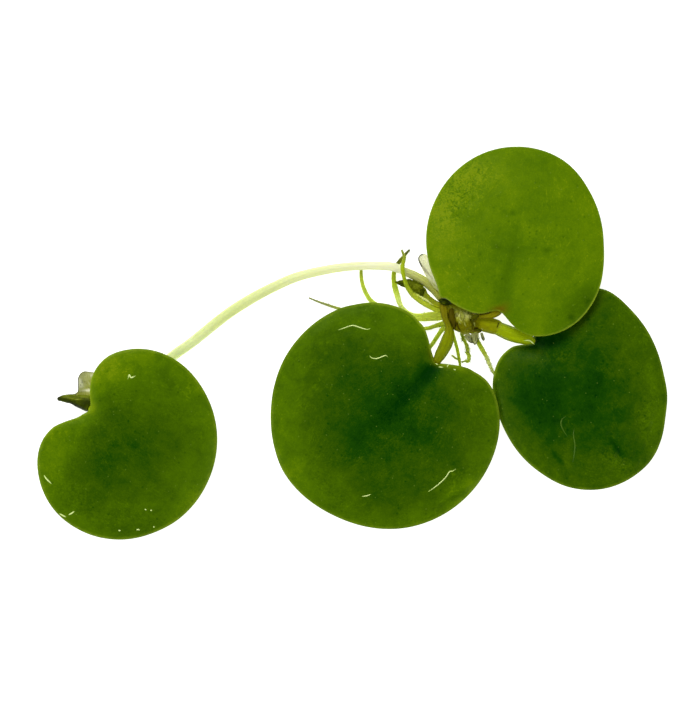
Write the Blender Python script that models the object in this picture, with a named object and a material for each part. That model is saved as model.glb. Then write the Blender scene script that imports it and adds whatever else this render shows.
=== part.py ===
# Amazon frogbit, picked from the water and lying flat on a surface.
# A mother rosette with three open leaves carries a daughter plantlet at the end of its runner.
# Metres, +Z up. Z = 0 is the surface, and the origin is the middle of the plant's outline there.

import math

import bmesh
import bpy
from mathutils import Vector

MM = 0.001

# A gap this wide is left where one piece grows out of another.
CLEARANCE = 0.1 * MM

# Leaf blades: sides of the mesh, and how much closer its spokes stand at the notch than elsewhere.
LEAF_SPOKES = 40
LEAF_RINGS = 12
SPOKES_CROWD_NOTCH = 0.6

# The spongy pad below a blade: it is flat in its middle, and thins to the rim between these shares
# of the dome's height. A sloping leaf comes down until this share of its reach lies on the surface.
PAD_THINS_BELOW = 0.10
PAD_FLAT_ABOVE = 0.86
CONTACT_SHARE = 0.45

# Each blade: its centre, the bearing of the notch where the stalk joins, the height of the dome and
# of the rim, how much the rim rises towards one bearing, how the whole blade slopes, and the reach
# of its outline. Bearings are in degrees from +X towards +Y, and lengths in millimetres.
LEAVES = {
    "leaf_top": {
        "centre": (21.1, 13.4),
        "notch": 258,
        "dome": 2.9,
        "rim": 1.7,
        "rim_rise": (0.0, 0),
        "slope": (9.0, 250),
        "outline": [
            (0, 11.57), (30, 11.65), (60, 12.25), (100, 12.15), (150, 11.62), (180, 11.57),
            (197, 11.6), (206, 11.65), (212, 11.82), (217, 12.2), (220.5, 11.78), (225, 11.6),
            (233, 11.25), (241, 10.88), (246, 10.45), (250, 9.97), (254, 9.6), (258, 9.53),
            (262, 9.97), (267, 10.85), (273, 11.88), (280, 12.68), (294, 13.27), (306, 13.35),
            (318, 13.08), (330, 12.65), (345, 11.97),
        ],
    },
    "leaf_middle": {
        "centre": (4.2, -9.3),
        "notch": 46,
        "dome": 3.0,
        "rim": 1.8,
        "rim_rise": (0.0, 0),
        "slope": (0.0, 0),
        "outline": [
            (-4, 15.0), (10, 14.6), (17, 14.13), (21.5, 13.6), (26, 12.88), (29, 12.45),
            (40, 10.3), (46, 9.6), (54, 10.3), (61, 11.55), (66, 12.5), (70, 12.93), (74, 13.42),
            (78.5, 13.83), (84, 14.18), (90, 14.47), (97, 14.72), (105, 14.86), (113, 15.03),
            (150, 14.98), (165, 14.88), (180, 14.85), (195, 14.98), (210, 15.13), (245, 14.7),
            (285, 15.0), (330, 15.1),
        ],
    },
    "leaf_right": {
        "centre": (30.0, -6.7),
        "notch": 134,
        "dome": 2.8,
        "rim": 1.25,
        "rim_rise": (0.6, 320),
        "slope": (0.0, 0),
        "outline": [
            (0, 10.95), (15, 10.85), (30, 11.2), (45, 11.85), (60, 12.7), (75, 13.85), (82, 14.03),
            (90, 13.9), (105, 13.0), (116, 12.0), (125, 10.85), (130, 10.0), (134, 9.4),
            (138, 9.85), (142, 10.5), (146, 11.1), (156, 11.8), (168, 11.9), (180, 11.7),
            (195, 11.3), (212, 11.2), (240, 11.55), (262, 12.2), (285, 12.55), (310, 12.4),
            (320, 12.15), (330, 11.72), (345, 11.1),
        ],
    },
    "daughter_leaf": {
        "centre": (-28.7, -13.2),
        "notch": 140,
        "dome": 2.9,
        "rim": 1.8,
        "rim_rise": (0.0, 0),
        "slope": (7.5, 125),
        "outline": [
            (0, 11.1), (30, 11.6), (60, 12.4), (75, 12.6), (90, 12.45), (105, 11.85), (117, 10.6),
            (127, 8.9), (134, 7.6), (140, 7.1), (147, 7.4), (154, 8.0), (161, 9.2), (168, 10.5),
            (180, 11.8), (195, 12.6), (218, 13.15), (240, 13.0), (262, 12.5), (285, 11.8),
            (300, 11.5), (315, 11.22), (335, 11.0),
        ],
    },
}

# Routes of everything with a stalk's shape: x, y, z and radius in millimetres, root end first.
CROWN_ROUTE = [
    (11.75, 5.2, 1.9, 0.5), (12.3, 4.7, 1.9, 1.0), (13.45, 3.95, 1.9, 1.35),
    (14.55, 3.06, 1.85, 1.77), (15.6, 2.6, 1.8, 1.42), (16.35, 2.3, 1.72, 0.93),
]
STALKS = {
    "leaf_middle_stalk": [
        (12.3, 3.7, 2.4, 0.42), (12.15, 3.2, 2.5, 0.42), (12.5, 2.4, 2.35, 0.44),
        (12.58, 1.6, 2.2, 0.58), (12.45, 0.7, 2.1, 0.8), (12.0, -0.5, 2.05, 0.82),
        (11.45, -1.5, 1.95, 0.72), (11.2, -2.0, 1.9, 0.5),
    ],
    "leaf_right_sheath": [
        (15.3, 2.9, 1.9, 1.0), (16.4, 2.72, 1.95, 1.02), (17.4, 2.48, 1.95, 1.02),
        (18.62, 2.12, 1.95, 0.98),
    ],
    "leaf_right_stalk": [
        (18.93, 1.98, 1.92, 0.87), (20.1, 1.42, 1.95, 0.94), (21.4, 0.98, 2.05, 0.92),
        (22.4, 0.66, 2.13, 0.82), (22.95, 0.5, 2.12, 0.7), (23.35, 0.33, 2.0, 0.42),
    ],
    "leaf_top_stalk": [
        (15.3, 3.4, 3.0, 0.48), (16.2, 3.57, 3.4, 0.41), (17.0, 3.58, 3.42, 0.38),
        (17.76, 3.65, 3.38, 0.44), (18.36, 3.86, 3.3, 0.53), (18.85, 4.2, 3.12, 0.57),
        (19.1, 4.55, 2.95, 0.5),
    ],
    "young_leaf_stalk": [
        (12.2, 4.65, 2.58, 0.38), (11.2, 5.0, 2.4, 0.38), (10.6, 5.26, 2.3, 0.4),
        (10.0, 5.66, 2.18, 0.42), (9.78, 5.88, 2.12, 0.42),
    ],
    "young_leaf": [
        (9.6, 6.08, 2.05, 0.4), (9.1, 6.55, 1.85, 0.66), (8.2, 7.15, 1.6, 0.76),
        (7.25, 7.68, 1.5, 0.62), (6.35, 7.85, 1.5, 0.4), (5.65, 7.93, 1.45, 0.1),
    ],
    "runner": [
        (-32.8, -7.25, 1.0, 0.5), (-31.3, -6.4, 0.62, 0.55), (-29.2, -5.3, 0.56, 0.56),
        (-26.7, -3.9, 0.58, 0.58), (-24.5, -2.5, 0.62, 0.62), (-22.85, -1.25, 0.65, 0.65),
        (-21.15, -0.05, 0.65, 0.65), (-19.6, 1.17, 0.66, 0.66), (-16.7, 3.5, 0.67, 0.67),
        (-13.6, 5.55, 0.66, 0.66), (-10.45, 7.25, 0.66, 0.63), (-7.35, 8.6, 0.72, 0.6),
        (-4.2, 9.4, 0.85, 0.57), (-1.1, 9.9, 1.0, 0.54), (2.0, 10.1, 1.15, 0.54),
        (4.9, 10.0, 1.3, 0.54), (6.3, 9.6, 1.35, 0.54),
    ],
    "runner_sheath": [
        (6.6, 9.42, 1.35, 0.5), (7.2, 9.17, 1.4, 0.54), (8.3, 8.68, 1.5, 0.56),
        (9.5, 7.97, 1.55, 0.57), (10.65, 6.98, 1.55, 0.58), (11.5, 5.95, 1.6, 0.55),
    ],
    "daughter_leaf_stalk": [
        (-33.6, -7.65, 1.6, 0.36), (-33.8, -8.15, 2.15, 0.36), (-34.0, -8.65, 2.55, 0.32),
    ],
    "daughter_young_leaf": [
        (-34.4, -7.65, 1.35, 1.18), (-34.95, -7.58, 1.4, 1.12), (-35.8, -7.36, 1.5, 0.94),
        (-36.55, -7.24, 1.6, 0.7), (-37.1, -7.19, 1.66, 0.6), (-37.7, -7.18, 1.72, 0.47),
        (-38.1, -7.2, 1.74, 0.31),
    ],
}
ROOTS = {
    "root_over_runner": [
        (12.1, 4.25, 2.6, 0.28), (11.05, 4.28, 2.58, 0.3), (9.87, 4.83, 2.62, 0.33),
        (8.76, 5.53, 2.62, 0.34), (7.87, 6.25, 2.65, 0.33), (7.36, 6.9, 2.66, 0.31),
        (6.99, 7.58, 2.64, 0.28), (6.72, 8.4, 2.56, 0.24), (6.54, 9.3, 2.45, 0.27),
        (6.5, 10.0, 2.32, 0.28), (6.63, 10.6, 2.0, 0.24), (6.74, 11.2, 1.7, 0.22),
        (6.45, 12.05, 1.25, 0.15),
    ],
    "root_under_runner": [
        (13.05, 4.1, 1.0, 0.26), (11.75, 3.95, 0.6, 0.26), (10.1, 3.8, 0.32, 0.25),
        (8.9, 3.7, 0.28, 0.25), (8.0, 3.73, 0.27, 0.24), (7.35, 3.9, 0.27, 0.24),
        (6.8, 4.28, 0.27, 0.24), (6.42, 4.68, 0.28, 0.25), (6.16, 5.2, 0.3, 0.28),
        (5.87, 6.1, 0.33, 0.32), (5.6, 7.05, 0.34, 0.33), (5.43, 7.9, 0.31, 0.29),
        (5.37, 8.7, 0.27, 0.26), (5.52, 9.65, 0.25, 0.24), (6.0, 10.5, 0.24, 0.23),
        (6.65, 11.3, 0.2, 0.18), (7.4, 12.15, 0.15, 0.1),
    ],
    "root_left": [
        (13.05, 3.6, 1.0, 0.26), (11.75, 3.25, 0.55, 0.26), (10.1, 3.2, 0.3, 0.26),
        (8.1, 3.17, 0.27, 0.24), (5.9, 3.7, 0.27, 0.25), (4.1, 4.5, 0.27, 0.25),
        (2.55, 5.42, 0.26, 0.24), (1.83, 6.38, 0.25, 0.23), (1.36, 7.5, 0.23, 0.21),
        (1.14, 8.6, 0.21, 0.19), (1.12, 9.6, 0.2, 0.16),
    ],
    "root_far_left": [
        (13.25, 3.15, 1.0, 0.23), (11.75, 2.65, 0.5, 0.23), (10.6, 2.22, 0.27, 0.23),
        (9.45, 1.9, 0.25, 0.23), (7.2, 2.05, 0.23, 0.22), (4.25, 2.8, 0.21, 0.2),
        (1.0, 3.8, 0.19, 0.18), (-1.9, 4.55, 0.17, 0.16), (-4.0, 5.25, 0.14, 0.12),
        (-5.65, 5.9, 0.1, 0.07),
    ],
    "root_below_middle": [
        (13.6, 2.75, 1.0, 0.24), (12.3, 2.15, 0.5, 0.25), (11.6, 1.65, 0.3, 0.25),
        (10.95, 0.7, 0.26, 0.25), (10.25, -0.35, 0.25, 0.22), (9.6, -1.2, 0.2, 0.14),
    ],
    "root_straight": [
        (13.7, 2.5, 1.0, 0.2), (13.38, 1.2, 0.5, 0.2), (13.58, -0.25, 0.24, 0.2),
        (13.83, -1.65, 0.22, 0.2), (14.0, -2.7, 0.2, 0.16), (14.08, -3.6, 0.15, 0.1),
    ],
    "root_side": [
        (13.54, -2.01, 0.19, 0.12), (13.35, -1.92, 0.18, 0.12), (13.0, -1.62, 0.14, 0.1),
    ],
    "root_curly": [
        (14.25, 2.0, 0.9, 0.2), (14.3, 1.05, 0.42, 0.2), (14.68, 0.15, 0.24, 0.21),
        (15.03, -0.75, 0.22, 0.21), (15.0, -1.15, 0.22, 0.21), (15.15, -1.6, 0.22, 0.2),
        (15.22, -2.05, 0.21, 0.18), (15.0, -2.4, 0.2, 0.15), (14.68, -2.38, 0.17, 0.12),
        (14.32, -2.47, 0.12, 0.08),
    ],
    "root_right": [
        (15.55, 2.0, 0.8, 0.22), (16.0, 1.15, 0.42, 0.2), (16.33, 0.24, 0.27, 0.23),
        (16.62, -0.3, 0.27, 0.25), (17.0, -0.95, 0.27, 0.26), (17.5, -1.85, 0.25, 0.24),
        (17.8, -2.6, 0.22, 0.2), (18.1, -3.3, 0.19, 0.16), (18.45, -3.95, 0.17, 0.13),
    ],
}

# Flat clear scales: where the foot is, the bearing they point to and how far the tip drops or rises
# in degrees, their thickness, and the outline as steps along and across that bearing.
SCALES = {
    "tall_stipule": {
        "foot": (11.8, 6.4, 2.75),
        "bearing": 117,
        "pitch": -14,
        "thickness": 0.25,
        "outline": [
            (0, -0.3), (0.6, -0.8), (1.2, -1.0), (2.3, -1.0), (3.2, -0.85), (4.1, -0.65),
            (4.9, -0.5), (5.5, -0.45), (5.85, -0.3), (6.03, -0.05), (6.1, 0.1), (6.1, 0.3),
            (6.03, 0.5), (5.85, 0.72), (5.5, 0.9), (4.9, 0.95), (4.1, 0.97), (3.2, 0.97),
            (2.3, 0.9), (1.2, 0.66), (0.6, 0.4), (0, 0.22),
        ],
    },
    "crown_scale_front": {
        "foot": (15.93, 1.2, 1.25),
        "bearing": 268,
        "pitch": -12,
        "thickness": 0.2,
        "outline": [
            (-0.15, -0.48), (0.3, -0.48), (0.7, -0.44), (1.0, -0.34), (1.25, -0.16), (1.45, -0.02),
            (1.45, 0.08), (1.25, 0.26), (1.0, 0.4), (0.7, 0.48), (0.3, 0.5), (-0.15, 0.5),
        ],
    },
    "crown_scale_left": {
        "foot": (14.85, 1.1, 1.1),
        "bearing": 310,
        "pitch": -15,
        "thickness": 0.2,
        "outline": [
            (-0.1, -0.4), (0.3, -0.42), (0.7, -0.42), (1.1, -0.32), (1.42, -0.1), (1.42, 0.12),
            (1.1, 0.34), (0.7, 0.42), (0.3, 0.42), (-0.1, 0.35),
        ],
    },
    "crown_scale_right": {
        "foot": (16.78, 1.25, 0.85),
        "bearing": 290,
        "pitch": -8,
        "thickness": 0.2,
        "outline": [
            (-0.1, -0.15), (0.3, -0.18), (0.6, -0.2), (0.85, -0.15), (1.0, -0.05), (1.0, 0.05),
            (0.85, 0.18), (0.6, 0.22), (0.3, 0.22), (-0.1, 0.2),
        ],
    },
    "daughter_stipule": {
        "foot": (-34.3, -6.5, 2.05),
        "bearing": 95,
        "pitch": 4,
        "thickness": 0.25,
        "outline": [
            (-0.05, -0.5), (0.4, -0.65), (1.2, -1.0), (2.03, -1.12), (2.37, -1.12), (2.65, -0.95),
            (2.76, -0.45), (2.88, 0.16), (2.88, 0.36), (2.76, 0.68), (2.65, 0.82), (2.37, 1.04),
            (2.03, 1.2), (1.2, 1.27), (0.4, 1.33), (-0.05, 1.25),
        ],
    },
}

BUD_CENTRE = (12.0, 5.3, 3.25)
BUD_RADII = (0.85, 0.42, 0.4)
BUD_TURN = -12

DAUGHTER_CROWN_CENTRE = (-33.6, -7.7, 1.1)
DAUGHTER_CROWN_RADIUS = 0.95

# Finishes: base colour (linear) and roughness.
FINISHES = {
    "blade_light": ((0.10, 0.19, 0.004), 0.35),
    "blade_dark": ((0.03, 0.09, 0.002), 0.35),
    "stalk": ((0.23, 0.28, 0.01), 0.4),
    "stalk_red": ((0.14, 0.10, 0.006), 0.4),
    "crown": ((0.10, 0.10, 0.006), 0.5),
    "young": ((0.05, 0.07, 0.002), 0.4),
    "runner": ((0.70, 0.76, 0.34), 0.35),
    "root": ((0.45, 0.52, 0.08), 0.5),
    "membrane": ((0.55, 0.58, 0.30), 0.3),
}
NODE_FINISH = {
    "leaf_top": "blade_light",
    "leaf_middle": "blade_dark",
    "leaf_right": "blade_dark",
    "daughter_leaf": "blade_light",
    "leaf_top_stalk": "stalk_red",
    "young_leaf": "young",
    "daughter_young_leaf": "young",
    "bud": "young",
    "runner": "runner",
    "runner_sheath": "membrane",
    "crown": "crown",
    "daughter_crown": "crown",
}


def clear_scene():
    for obj in list(bpy.data.objects):
        bpy.data.objects.remove(obj, do_unlink=True)


def make_collection(name):
    collection = bpy.data.collections.new(name)
    bpy.context.scene.collection.children.link(collection)
    return collection


def make_material(name, finish):
    colour, roughness = FINISHES[finish]
    material = bpy.data.materials.new(name)
    material.use_nodes = True
    shader = material.node_tree.nodes["Principled BSDF"]
    shader.inputs["Base Color"].default_value = (*colour, 1)
    shader.inputs["Roughness"].default_value = roughness
    shader.inputs["Metallic"].default_value = 0
    return material


def add_object(name, data, collection, finish):
    obj = bpy.data.objects.new(name, data)
    collection.objects.link(obj)
    data.materials.append(make_material(name, NODE_FINISH.get(name, finish)))
    return obj


def smooth_step(low, high, value):
    share = min(max((value - low) / (high - low), 0), 1)
    return share * share * (3 - 2 * share)


def reach_at(bearing, outline):
    """Distance from a blade's centre to its edge, on a smooth closed curve through the outline."""
    count = len(outline)
    for index in range(count):
        (before_at, before), (start_at, start) = outline[index - 1], outline[index]
        (end_at, end), (after_at, after) = outline[(index + 1) % count], outline[(index + 2) % count]
        span = (end_at - start_at) % 360
        step = (bearing - start_at) % 360
        if step > span:
            continue
        start_slope = (end - before) / ((end_at - before_at) % 360) * span
        end_slope = (after - start) / ((after_at - start_at) % 360) * span
        t = step / span
        return (
            start * (2 * t**3 - 3 * t**2 + 1)
            + start_slope * (t**3 - 2 * t**2 + t)
            + end * (3 * t**2 - 2 * t**3)
            + end_slope * (t**3 - t**2)
        )
    raise ValueError("the outline leaves a bearing out")


def blade_point(leaf, bearing, share, dome_share, is_top):
    """A point of the blade in millimetres from the leaf's centre: share 1 is the rim."""
    reach = reach_at(bearing, leaf["outline"]) * share
    rise, rise_at = leaf["rim_rise"]
    rim = leaf["rim"] + rise * math.cos(math.radians(bearing - rise_at))
    if is_top:
        height = rim + (leaf["dome"] - rim) * dome_share
    else:
        height = rim * (1 - smooth_step(PAD_THINS_BELOW, PAD_FLAT_ABOVE, dome_share))
    slope, slope_at = leaf["slope"]
    gradient = math.tan(math.radians(slope))
    mean_reach = sum(length for _, length in leaf["outline"]) / len(leaf["outline"])
    uphill = reach * math.cos(math.radians(bearing - slope_at))
    height += (uphill + CONTACT_SHARE * mean_reach) * gradient
    turn = math.radians(bearing)
    return Vector((reach * math.cos(turn), reach * math.sin(turn), max(height, 0)))


def make_blade(name, leaf, collection):
    """A thick round blade: a ball whose spokes follow the outline, domed above and padded below."""
    ball = bmesh.new()
    bmesh.ops.create_uvsphere(ball, u_segments=LEAF_SPOKES, v_segments=LEAF_RINGS, radius=1)
    for vertex in ball.verts:
        turn = math.atan2(vertex.co.y, vertex.co.x)
        crowded = turn - SPOKES_CROWD_NOTCH * math.sin(turn)
        bearing = leaf["notch"] + math.degrees(crowded)
        share = math.hypot(vertex.co.x, vertex.co.y)
        is_top = vertex.co.z > 0
        vertex.co = blade_point(leaf, bearing, share, abs(vertex.co.z), is_top) * MM
    mesh = bpy.data.meshes.new(name)
    ball.to_mesh(mesh)
    ball.free()
    mesh.shade_smooth()
    blade = add_object(name, mesh, collection, "blade_dark")
    blade.location = (leaf["centre"][0] * MM, leaf["centre"][1] * MM, 0)
    return blade


def smooth_route(route, steps):
    """More points on a smooth curve through the route's own, with the radius between them too."""
    points = [Vector(point) for point in route]
    first = points[0] * 2 - points[1]
    last = points[-1] * 2 - points[-2]
    points = [first, *points, last]
    smooth = []
    for a, b, c, d in zip(points, points[1:], points[2:], points[3:]):
        for step in range(steps):
            t = step / steps
            bend = (a * 2 - b * 5 + c * 4 - d) * t**2 + (b * 3 - a - c * 3 + d) * t**3
            smooth.append((b * 2 + (c - a) * t + bend) / 2)
    smooth.append(points[-2])
    return smooth


def curve_to_mesh(curve_object, collection):
    """The same shape as a mesh, with its end caps welded on, so that it can be cut."""
    bpy.context.view_layer.update()
    graph = bpy.context.evaluated_depsgraph_get()
    mesh = bpy.data.meshes.new_from_object(curve_object.evaluated_get(graph))
    shape = bmesh.new()
    shape.from_mesh(mesh)
    bmesh.ops.remove_doubles(shape, verts=shape.verts, dist=0.001 * MM)
    bmesh.ops.recalc_face_normals(shape, faces=shape.faces)
    shape.to_mesh(mesh)
    shape.free()
    mesh.shade_smooth()
    mesh.set_sharp_from_angle(angle=math.radians(50))
    name = curve_object.name
    matrix = curve_object.matrix_world.copy()
    curve = curve_object.data
    bpy.data.objects.remove(curve_object, do_unlink=True)
    bpy.data.curves.remove(curve)
    mesh.name = name
    solid = bpy.data.objects.new(name, mesh)
    solid.matrix_world = matrix
    collection.objects.link(solid)
    return solid


def make_tube(name, route, collection, finish, resolution=2, steps=2, swell=0):
    """A stalk, root or runner: a round tube along the route, fatter by swell where it is a cutter."""
    curve = bpy.data.curves.new(name, "CURVE")
    curve.dimensions = "3D"
    curve.bevel_depth = MM
    curve.bevel_resolution = resolution
    curve.use_fill_caps = True
    path = smooth_route(route, steps)
    spline = curve.splines.new("POLY")
    spline.points.add(len(path) - 1)
    for point, (x, y, z, radius) in zip(spline.points, path):
        point.co = (x * MM, y * MM, z * MM, 1)
        point.radius = radius + swell / MM
    return curve_to_mesh(add_object(name, curve, collection, finish), collection)


def make_scale(name, scale, collection):
    """A thin flat scale, laid from its foot along its bearing."""
    outline = scale["outline"]
    curve = bpy.data.curves.new(name, "CURVE")
    curve.dimensions = "2D"
    curve.fill_mode = "BOTH"
    curve.extrude = scale["thickness"] / 2 * MM
    spline = curve.splines.new("POLY")
    spline.points.add(len(outline) - 1)
    for point, (along, across) in zip(spline.points, outline):
        point.co = (along * MM, across * MM, 0, 1)
    spline.use_cyclic_u = True
    obj = add_object(name, curve, collection, "membrane")
    obj.location = Vector(scale["foot"]) * MM
    obj.rotation_euler = (0, math.radians(-scale["pitch"]), math.radians(scale["bearing"]))
    return curve_to_mesh(obj, collection)


def make_ball(name, centre, radii, collection, turn=0, swell=0):
    shape = bmesh.new()
    bmesh.ops.create_uvsphere(shape, u_segments=12, v_segments=8, radius=1)
    for vertex in shape.verts:
        vertex.co = Vector(co * (radius * MM + swell) for co, radius in zip(vertex.co, radii))
    mesh = bpy.data.meshes.new(name)
    shape.to_mesh(mesh)
    shape.free()
    mesh.shade_smooth()
    ball = add_object(name, mesh, collection, "crown")
    ball.location = Vector(centre) * MM
    ball.rotation_euler.z = math.radians(turn)
    return ball


def make_cutter(obj):
    obj.hide_render = True
    obj.display_type = "WIRE"
    return obj


def cut(piece, cutter):
    modifier = piece.modifiers.new("cut back from " + cutter.name, "BOOLEAN")
    modifier.operation = "DIFFERENCE"
    modifier.solver = "EXACT"
    modifier.object = cutter


def build_mother(plant, cutters):
    make_tube("crown", CROWN_ROUTE, plant, "crown", resolution=3)
    crown_space = make_cutter(
        make_tube("crown_space", CROWN_ROUTE, cutters, "crown", resolution=3, swell=CLEARANCE)
    )
    for name in ("leaf_top", "leaf_middle", "leaf_right"):
        make_blade(name, LEAVES[name], plant)
    for name in (
        "leaf_middle_stalk",
        "leaf_right_sheath",
        "leaf_top_stalk",
        "young_leaf_stalk",
        "runner_sheath",
    ):
        cut(make_tube(name, STALKS[name], plant, "stalk"), crown_space)
    for name in ("leaf_right_stalk", "young_leaf"):
        make_tube(name, STALKS[name], plant, "stalk", resolution=3)
    for name, route in ROOTS.items():
        root = make_tube(name, route, plant, "root", resolution=1)
        if name != "root_side":
            cut(root, crown_space)
    for name in ("tall_stipule", "crown_scale_front", "crown_scale_left", "crown_scale_right"):
        make_scale(name, SCALES[name], plant)
    make_ball("bud", BUD_CENTRE, BUD_RADII, plant, turn=BUD_TURN)


def build_daughter(plant, cutters):
    radii = (DAUGHTER_CROWN_RADIUS,) * 3
    make_ball("daughter_crown", DAUGHTER_CROWN_CENTRE, radii, plant)
    crown_space = make_cutter(
        make_ball("daughter_crown_space", DAUGHTER_CROWN_CENTRE, radii, cutters, swell=CLEARANCE)
    )
    for name in ("runner", "daughter_leaf_stalk", "daughter_young_leaf"):
        cut(make_tube(name, STALKS[name], plant, "stalk"), crown_space)
    make_blade("daughter_leaf", LEAVES["daughter_leaf"], plant)
    make_scale("daughter_stipule", SCALES["daughter_stipule"], plant)


def main():
    clear_scene()
    plant = make_collection("amazon_frogbit")
    cutters = make_collection("cutters")
    build_mother(plant, cutters)
    build_daughter(plant, cutters)


main()
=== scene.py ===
import math

import bpy
import numpy as np
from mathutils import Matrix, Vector, kdtree


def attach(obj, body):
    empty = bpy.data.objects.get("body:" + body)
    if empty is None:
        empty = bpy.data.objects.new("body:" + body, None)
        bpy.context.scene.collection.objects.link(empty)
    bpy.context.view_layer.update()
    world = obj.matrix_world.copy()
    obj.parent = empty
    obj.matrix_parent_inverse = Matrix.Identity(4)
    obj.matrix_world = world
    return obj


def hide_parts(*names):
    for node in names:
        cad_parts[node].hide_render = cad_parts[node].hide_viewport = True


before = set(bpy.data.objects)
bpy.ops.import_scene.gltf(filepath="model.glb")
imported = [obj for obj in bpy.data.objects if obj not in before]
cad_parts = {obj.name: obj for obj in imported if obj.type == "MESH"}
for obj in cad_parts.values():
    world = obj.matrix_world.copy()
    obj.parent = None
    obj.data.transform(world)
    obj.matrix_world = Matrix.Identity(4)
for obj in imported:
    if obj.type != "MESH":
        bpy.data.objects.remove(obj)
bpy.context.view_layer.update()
mm = 0.001
print("Frame loaded with", len(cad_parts), "nodes")


# Small helpers for node trees

def nodeAdder(tree):
    # gives a function that adds a node, sets its inputs and links any that are sockets
    def add(kind, inputs=None, **settings):
        node = tree.nodes.new(kind)
        for name, value in settings.items():
            setattr(node, name, value)
        for key, value in (inputs or {}).items():
            if isinstance(value, bpy.types.NodeSocket):
                tree.links.new(value, node.inputs[key])
            else:
                node.inputs[key].default_value = value
        return node
    return add


def calc(add, operation, a, b=0.0, clamp=False):
    return add("ShaderNodeMath", {0: a, 1: b}, operation=operation, use_clamp=clamp).outputs[0]


def plus(add, a, b, clamp=False):
    return calc(add, "ADD", a, b, clamp)


def minus(add, a, b, clamp=False):
    return calc(add, "SUBTRACT", a, b, clamp)


def times(add, a, b, clamp=False):
    return calc(add, "MULTIPLY", a, b, clamp)


def vectorCalc(add, operation, a, b):
    return add("ShaderNodeVectorMath", {0: a, 1: b}, operation=operation).outputs[0]


def scaled(add, vector, amount):
    return add("ShaderNodeVectorMath", {0: vector, 3: amount}, operation="SCALE").outputs[0]


def split(add, vector):
    return add("ShaderNodeSeparateXYZ", {0: vector}).outputs


def joined(add, x, y, z):
    return add("ShaderNodeCombineXYZ", {0: x, 1: y, 2: z}).outputs[0]


def noiseAt(add, place, scale, detail=2, roughness=0.5, bend=0):
    # a noise texture's outputs: the value, then the colour
    values = {"Vector": place, "Scale": scale, "Detail": detail, "Roughness": roughness, "Distortion": bend}
    return add("ShaderNodeTexNoise", values).outputs


def cellsAt(add, place, scale, randomness=1.0):
    # a cell texture's outputs, Distance and Color among them
    return add("ShaderNodeTexVoronoi", {"Vector": place, "Scale": scale, "Randomness": randomness}).outputs


def remap(add, value, low, high, outLow=0.0, outHigh=1.0):
    settings = {0: value, 1: low, 2: high, 3: outLow, 4: outHigh}
    return add("ShaderNodeMapRange", settings, interpolation_type="SMOOTHSTEP").outputs[0]


def mixColour(add, share, a, b, blend="MIX"):
    a, b = [(*colour, 1) if isinstance(colour, tuple) else colour for colour in (a, b)]
    return add("ShaderNodeMix", {0: share, 6: a, 7: b}, data_type="RGBA", blend_type=blend).outputs[2]


def attribute(add, name, output="Fac"):
    return add("ShaderNodeAttribute", attribute_name=name).outputs[output]


def objectMillimetres(add):
    return scaled(add, add("ShaderNodeTexCoord").outputs["Object"], 1 / mm)


def useGroup(add, group, inputs):
    return add("ShaderNodeGroup", inputs, node_tree=group).outputs


def colourRamp(add, share, stops):
    ramp = add("ShaderNodeValToRGB", {0: share})
    elements = ramp.color_ramp.elements
    while len(elements) < len(stops):
        elements.new(1.0)
    for element, (place, colour) in zip(elements, stops):
        element.position = place
        element.color = (*colour, 1)
    return ramp.outputs[0]


def newMaterial(name, values):
    # a Principled material; plain numbers and colours go straight onto its sockets
    material = bpy.data.materials.new(name)
    material.use_nodes = True
    shader = material.node_tree.nodes["Principled BSDF"]
    for key, value in values.items():
        shader.inputs[key].default_value = value
    return material, nodeAdder(material.node_tree)


def finishMaterial(material, add, sockets, height, strength, depth):
    # links the finished values to the shader, with a fine bump of a depth in millimetres
    bump = add("ShaderNodeBump", {"Strength": strength, "Distance": depth * mm, "Height": height})
    for name, socket in {**sockets, "Normal": bump.outputs[0]}.items():
        material.node_tree.links.new(socket, material.node_tree.nodes["Principled BSDF"].inputs[name])
    return material


def newTree(kind, name, inputs, outputs):
    # a node group; inputs and outputs list the labels of each kind of socket
    tree = bpy.data.node_groups.new(name, kind)
    for way, sockets in (("INPUT", inputs), ("OUTPUT", outputs)):
        for socket, labels in sockets.items():
            for label in labels:
                tree.interface.new_socket(label, in_out=way, socket_type="NodeSocket" + socket)
    add = nodeAdder(tree)
    return tree, add, add("NodeGroupInput").outputs


# Camera, floor and light

studio = {
    "frameWide": 91 * mm,            # what the picture's width shows: 700 pixels of 0.13 mm
    "middle": (-0.325 * mm, -1.144 * mm),
    "height": 602 * mm,
    "sharpPlane": 2 * mm,            # the height at which the scale is exact
    "sensor": 36,
    "floorHalf": 3.0,
    "floorDrop": 0.01 * mm,
    "floorColour": (0.80, 0.80, 0.79, 1),
    "floorGlow": 0.86,
    "horizon": 0.42,
    "overhead": 0.01,
}


def makeCamera():
    camera = bpy.data.cameras.new("camera")
    camera.sensor_width = studio["sensor"]
    camera.sensor_fit = "HORIZONTAL"
    camera.lens = studio["sensor"] * (studio["height"] - studio["sharpPlane"]) / studio["frameWide"]
    camera.clip_start = 0.01
    holder = bpy.data.objects.new("camera", camera)
    holder.location = (*studio["middle"], studio["height"])
    bpy.context.scene.collection.objects.link(holder)
    bpy.context.scene.camera = holder


def makeFloor():
    half, drop = studio["floorHalf"], studio["floorDrop"]
    mesh = bpy.data.meshes.new("floor")
    corners = [(-half, -half, -drop), (half, -half, -drop), (half, half, -drop), (-half, half, -drop)]
    mesh.from_pydata(corners, [], [(0, 1, 2, 3)])
    floor = bpy.data.objects.new("floor", mesh)
    bpy.context.scene.collection.objects.link(floor)
    glow = {"Base Color": studio["floorColour"], "Roughness": 0.9, "Specular IOR Level": 0.1,
            "Emission Color": (1, 1, 1, 1), "Emission Strength": studio["floorGlow"]}
    mesh.materials.append(newMaterial("pale floor", glow)[0])


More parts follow.
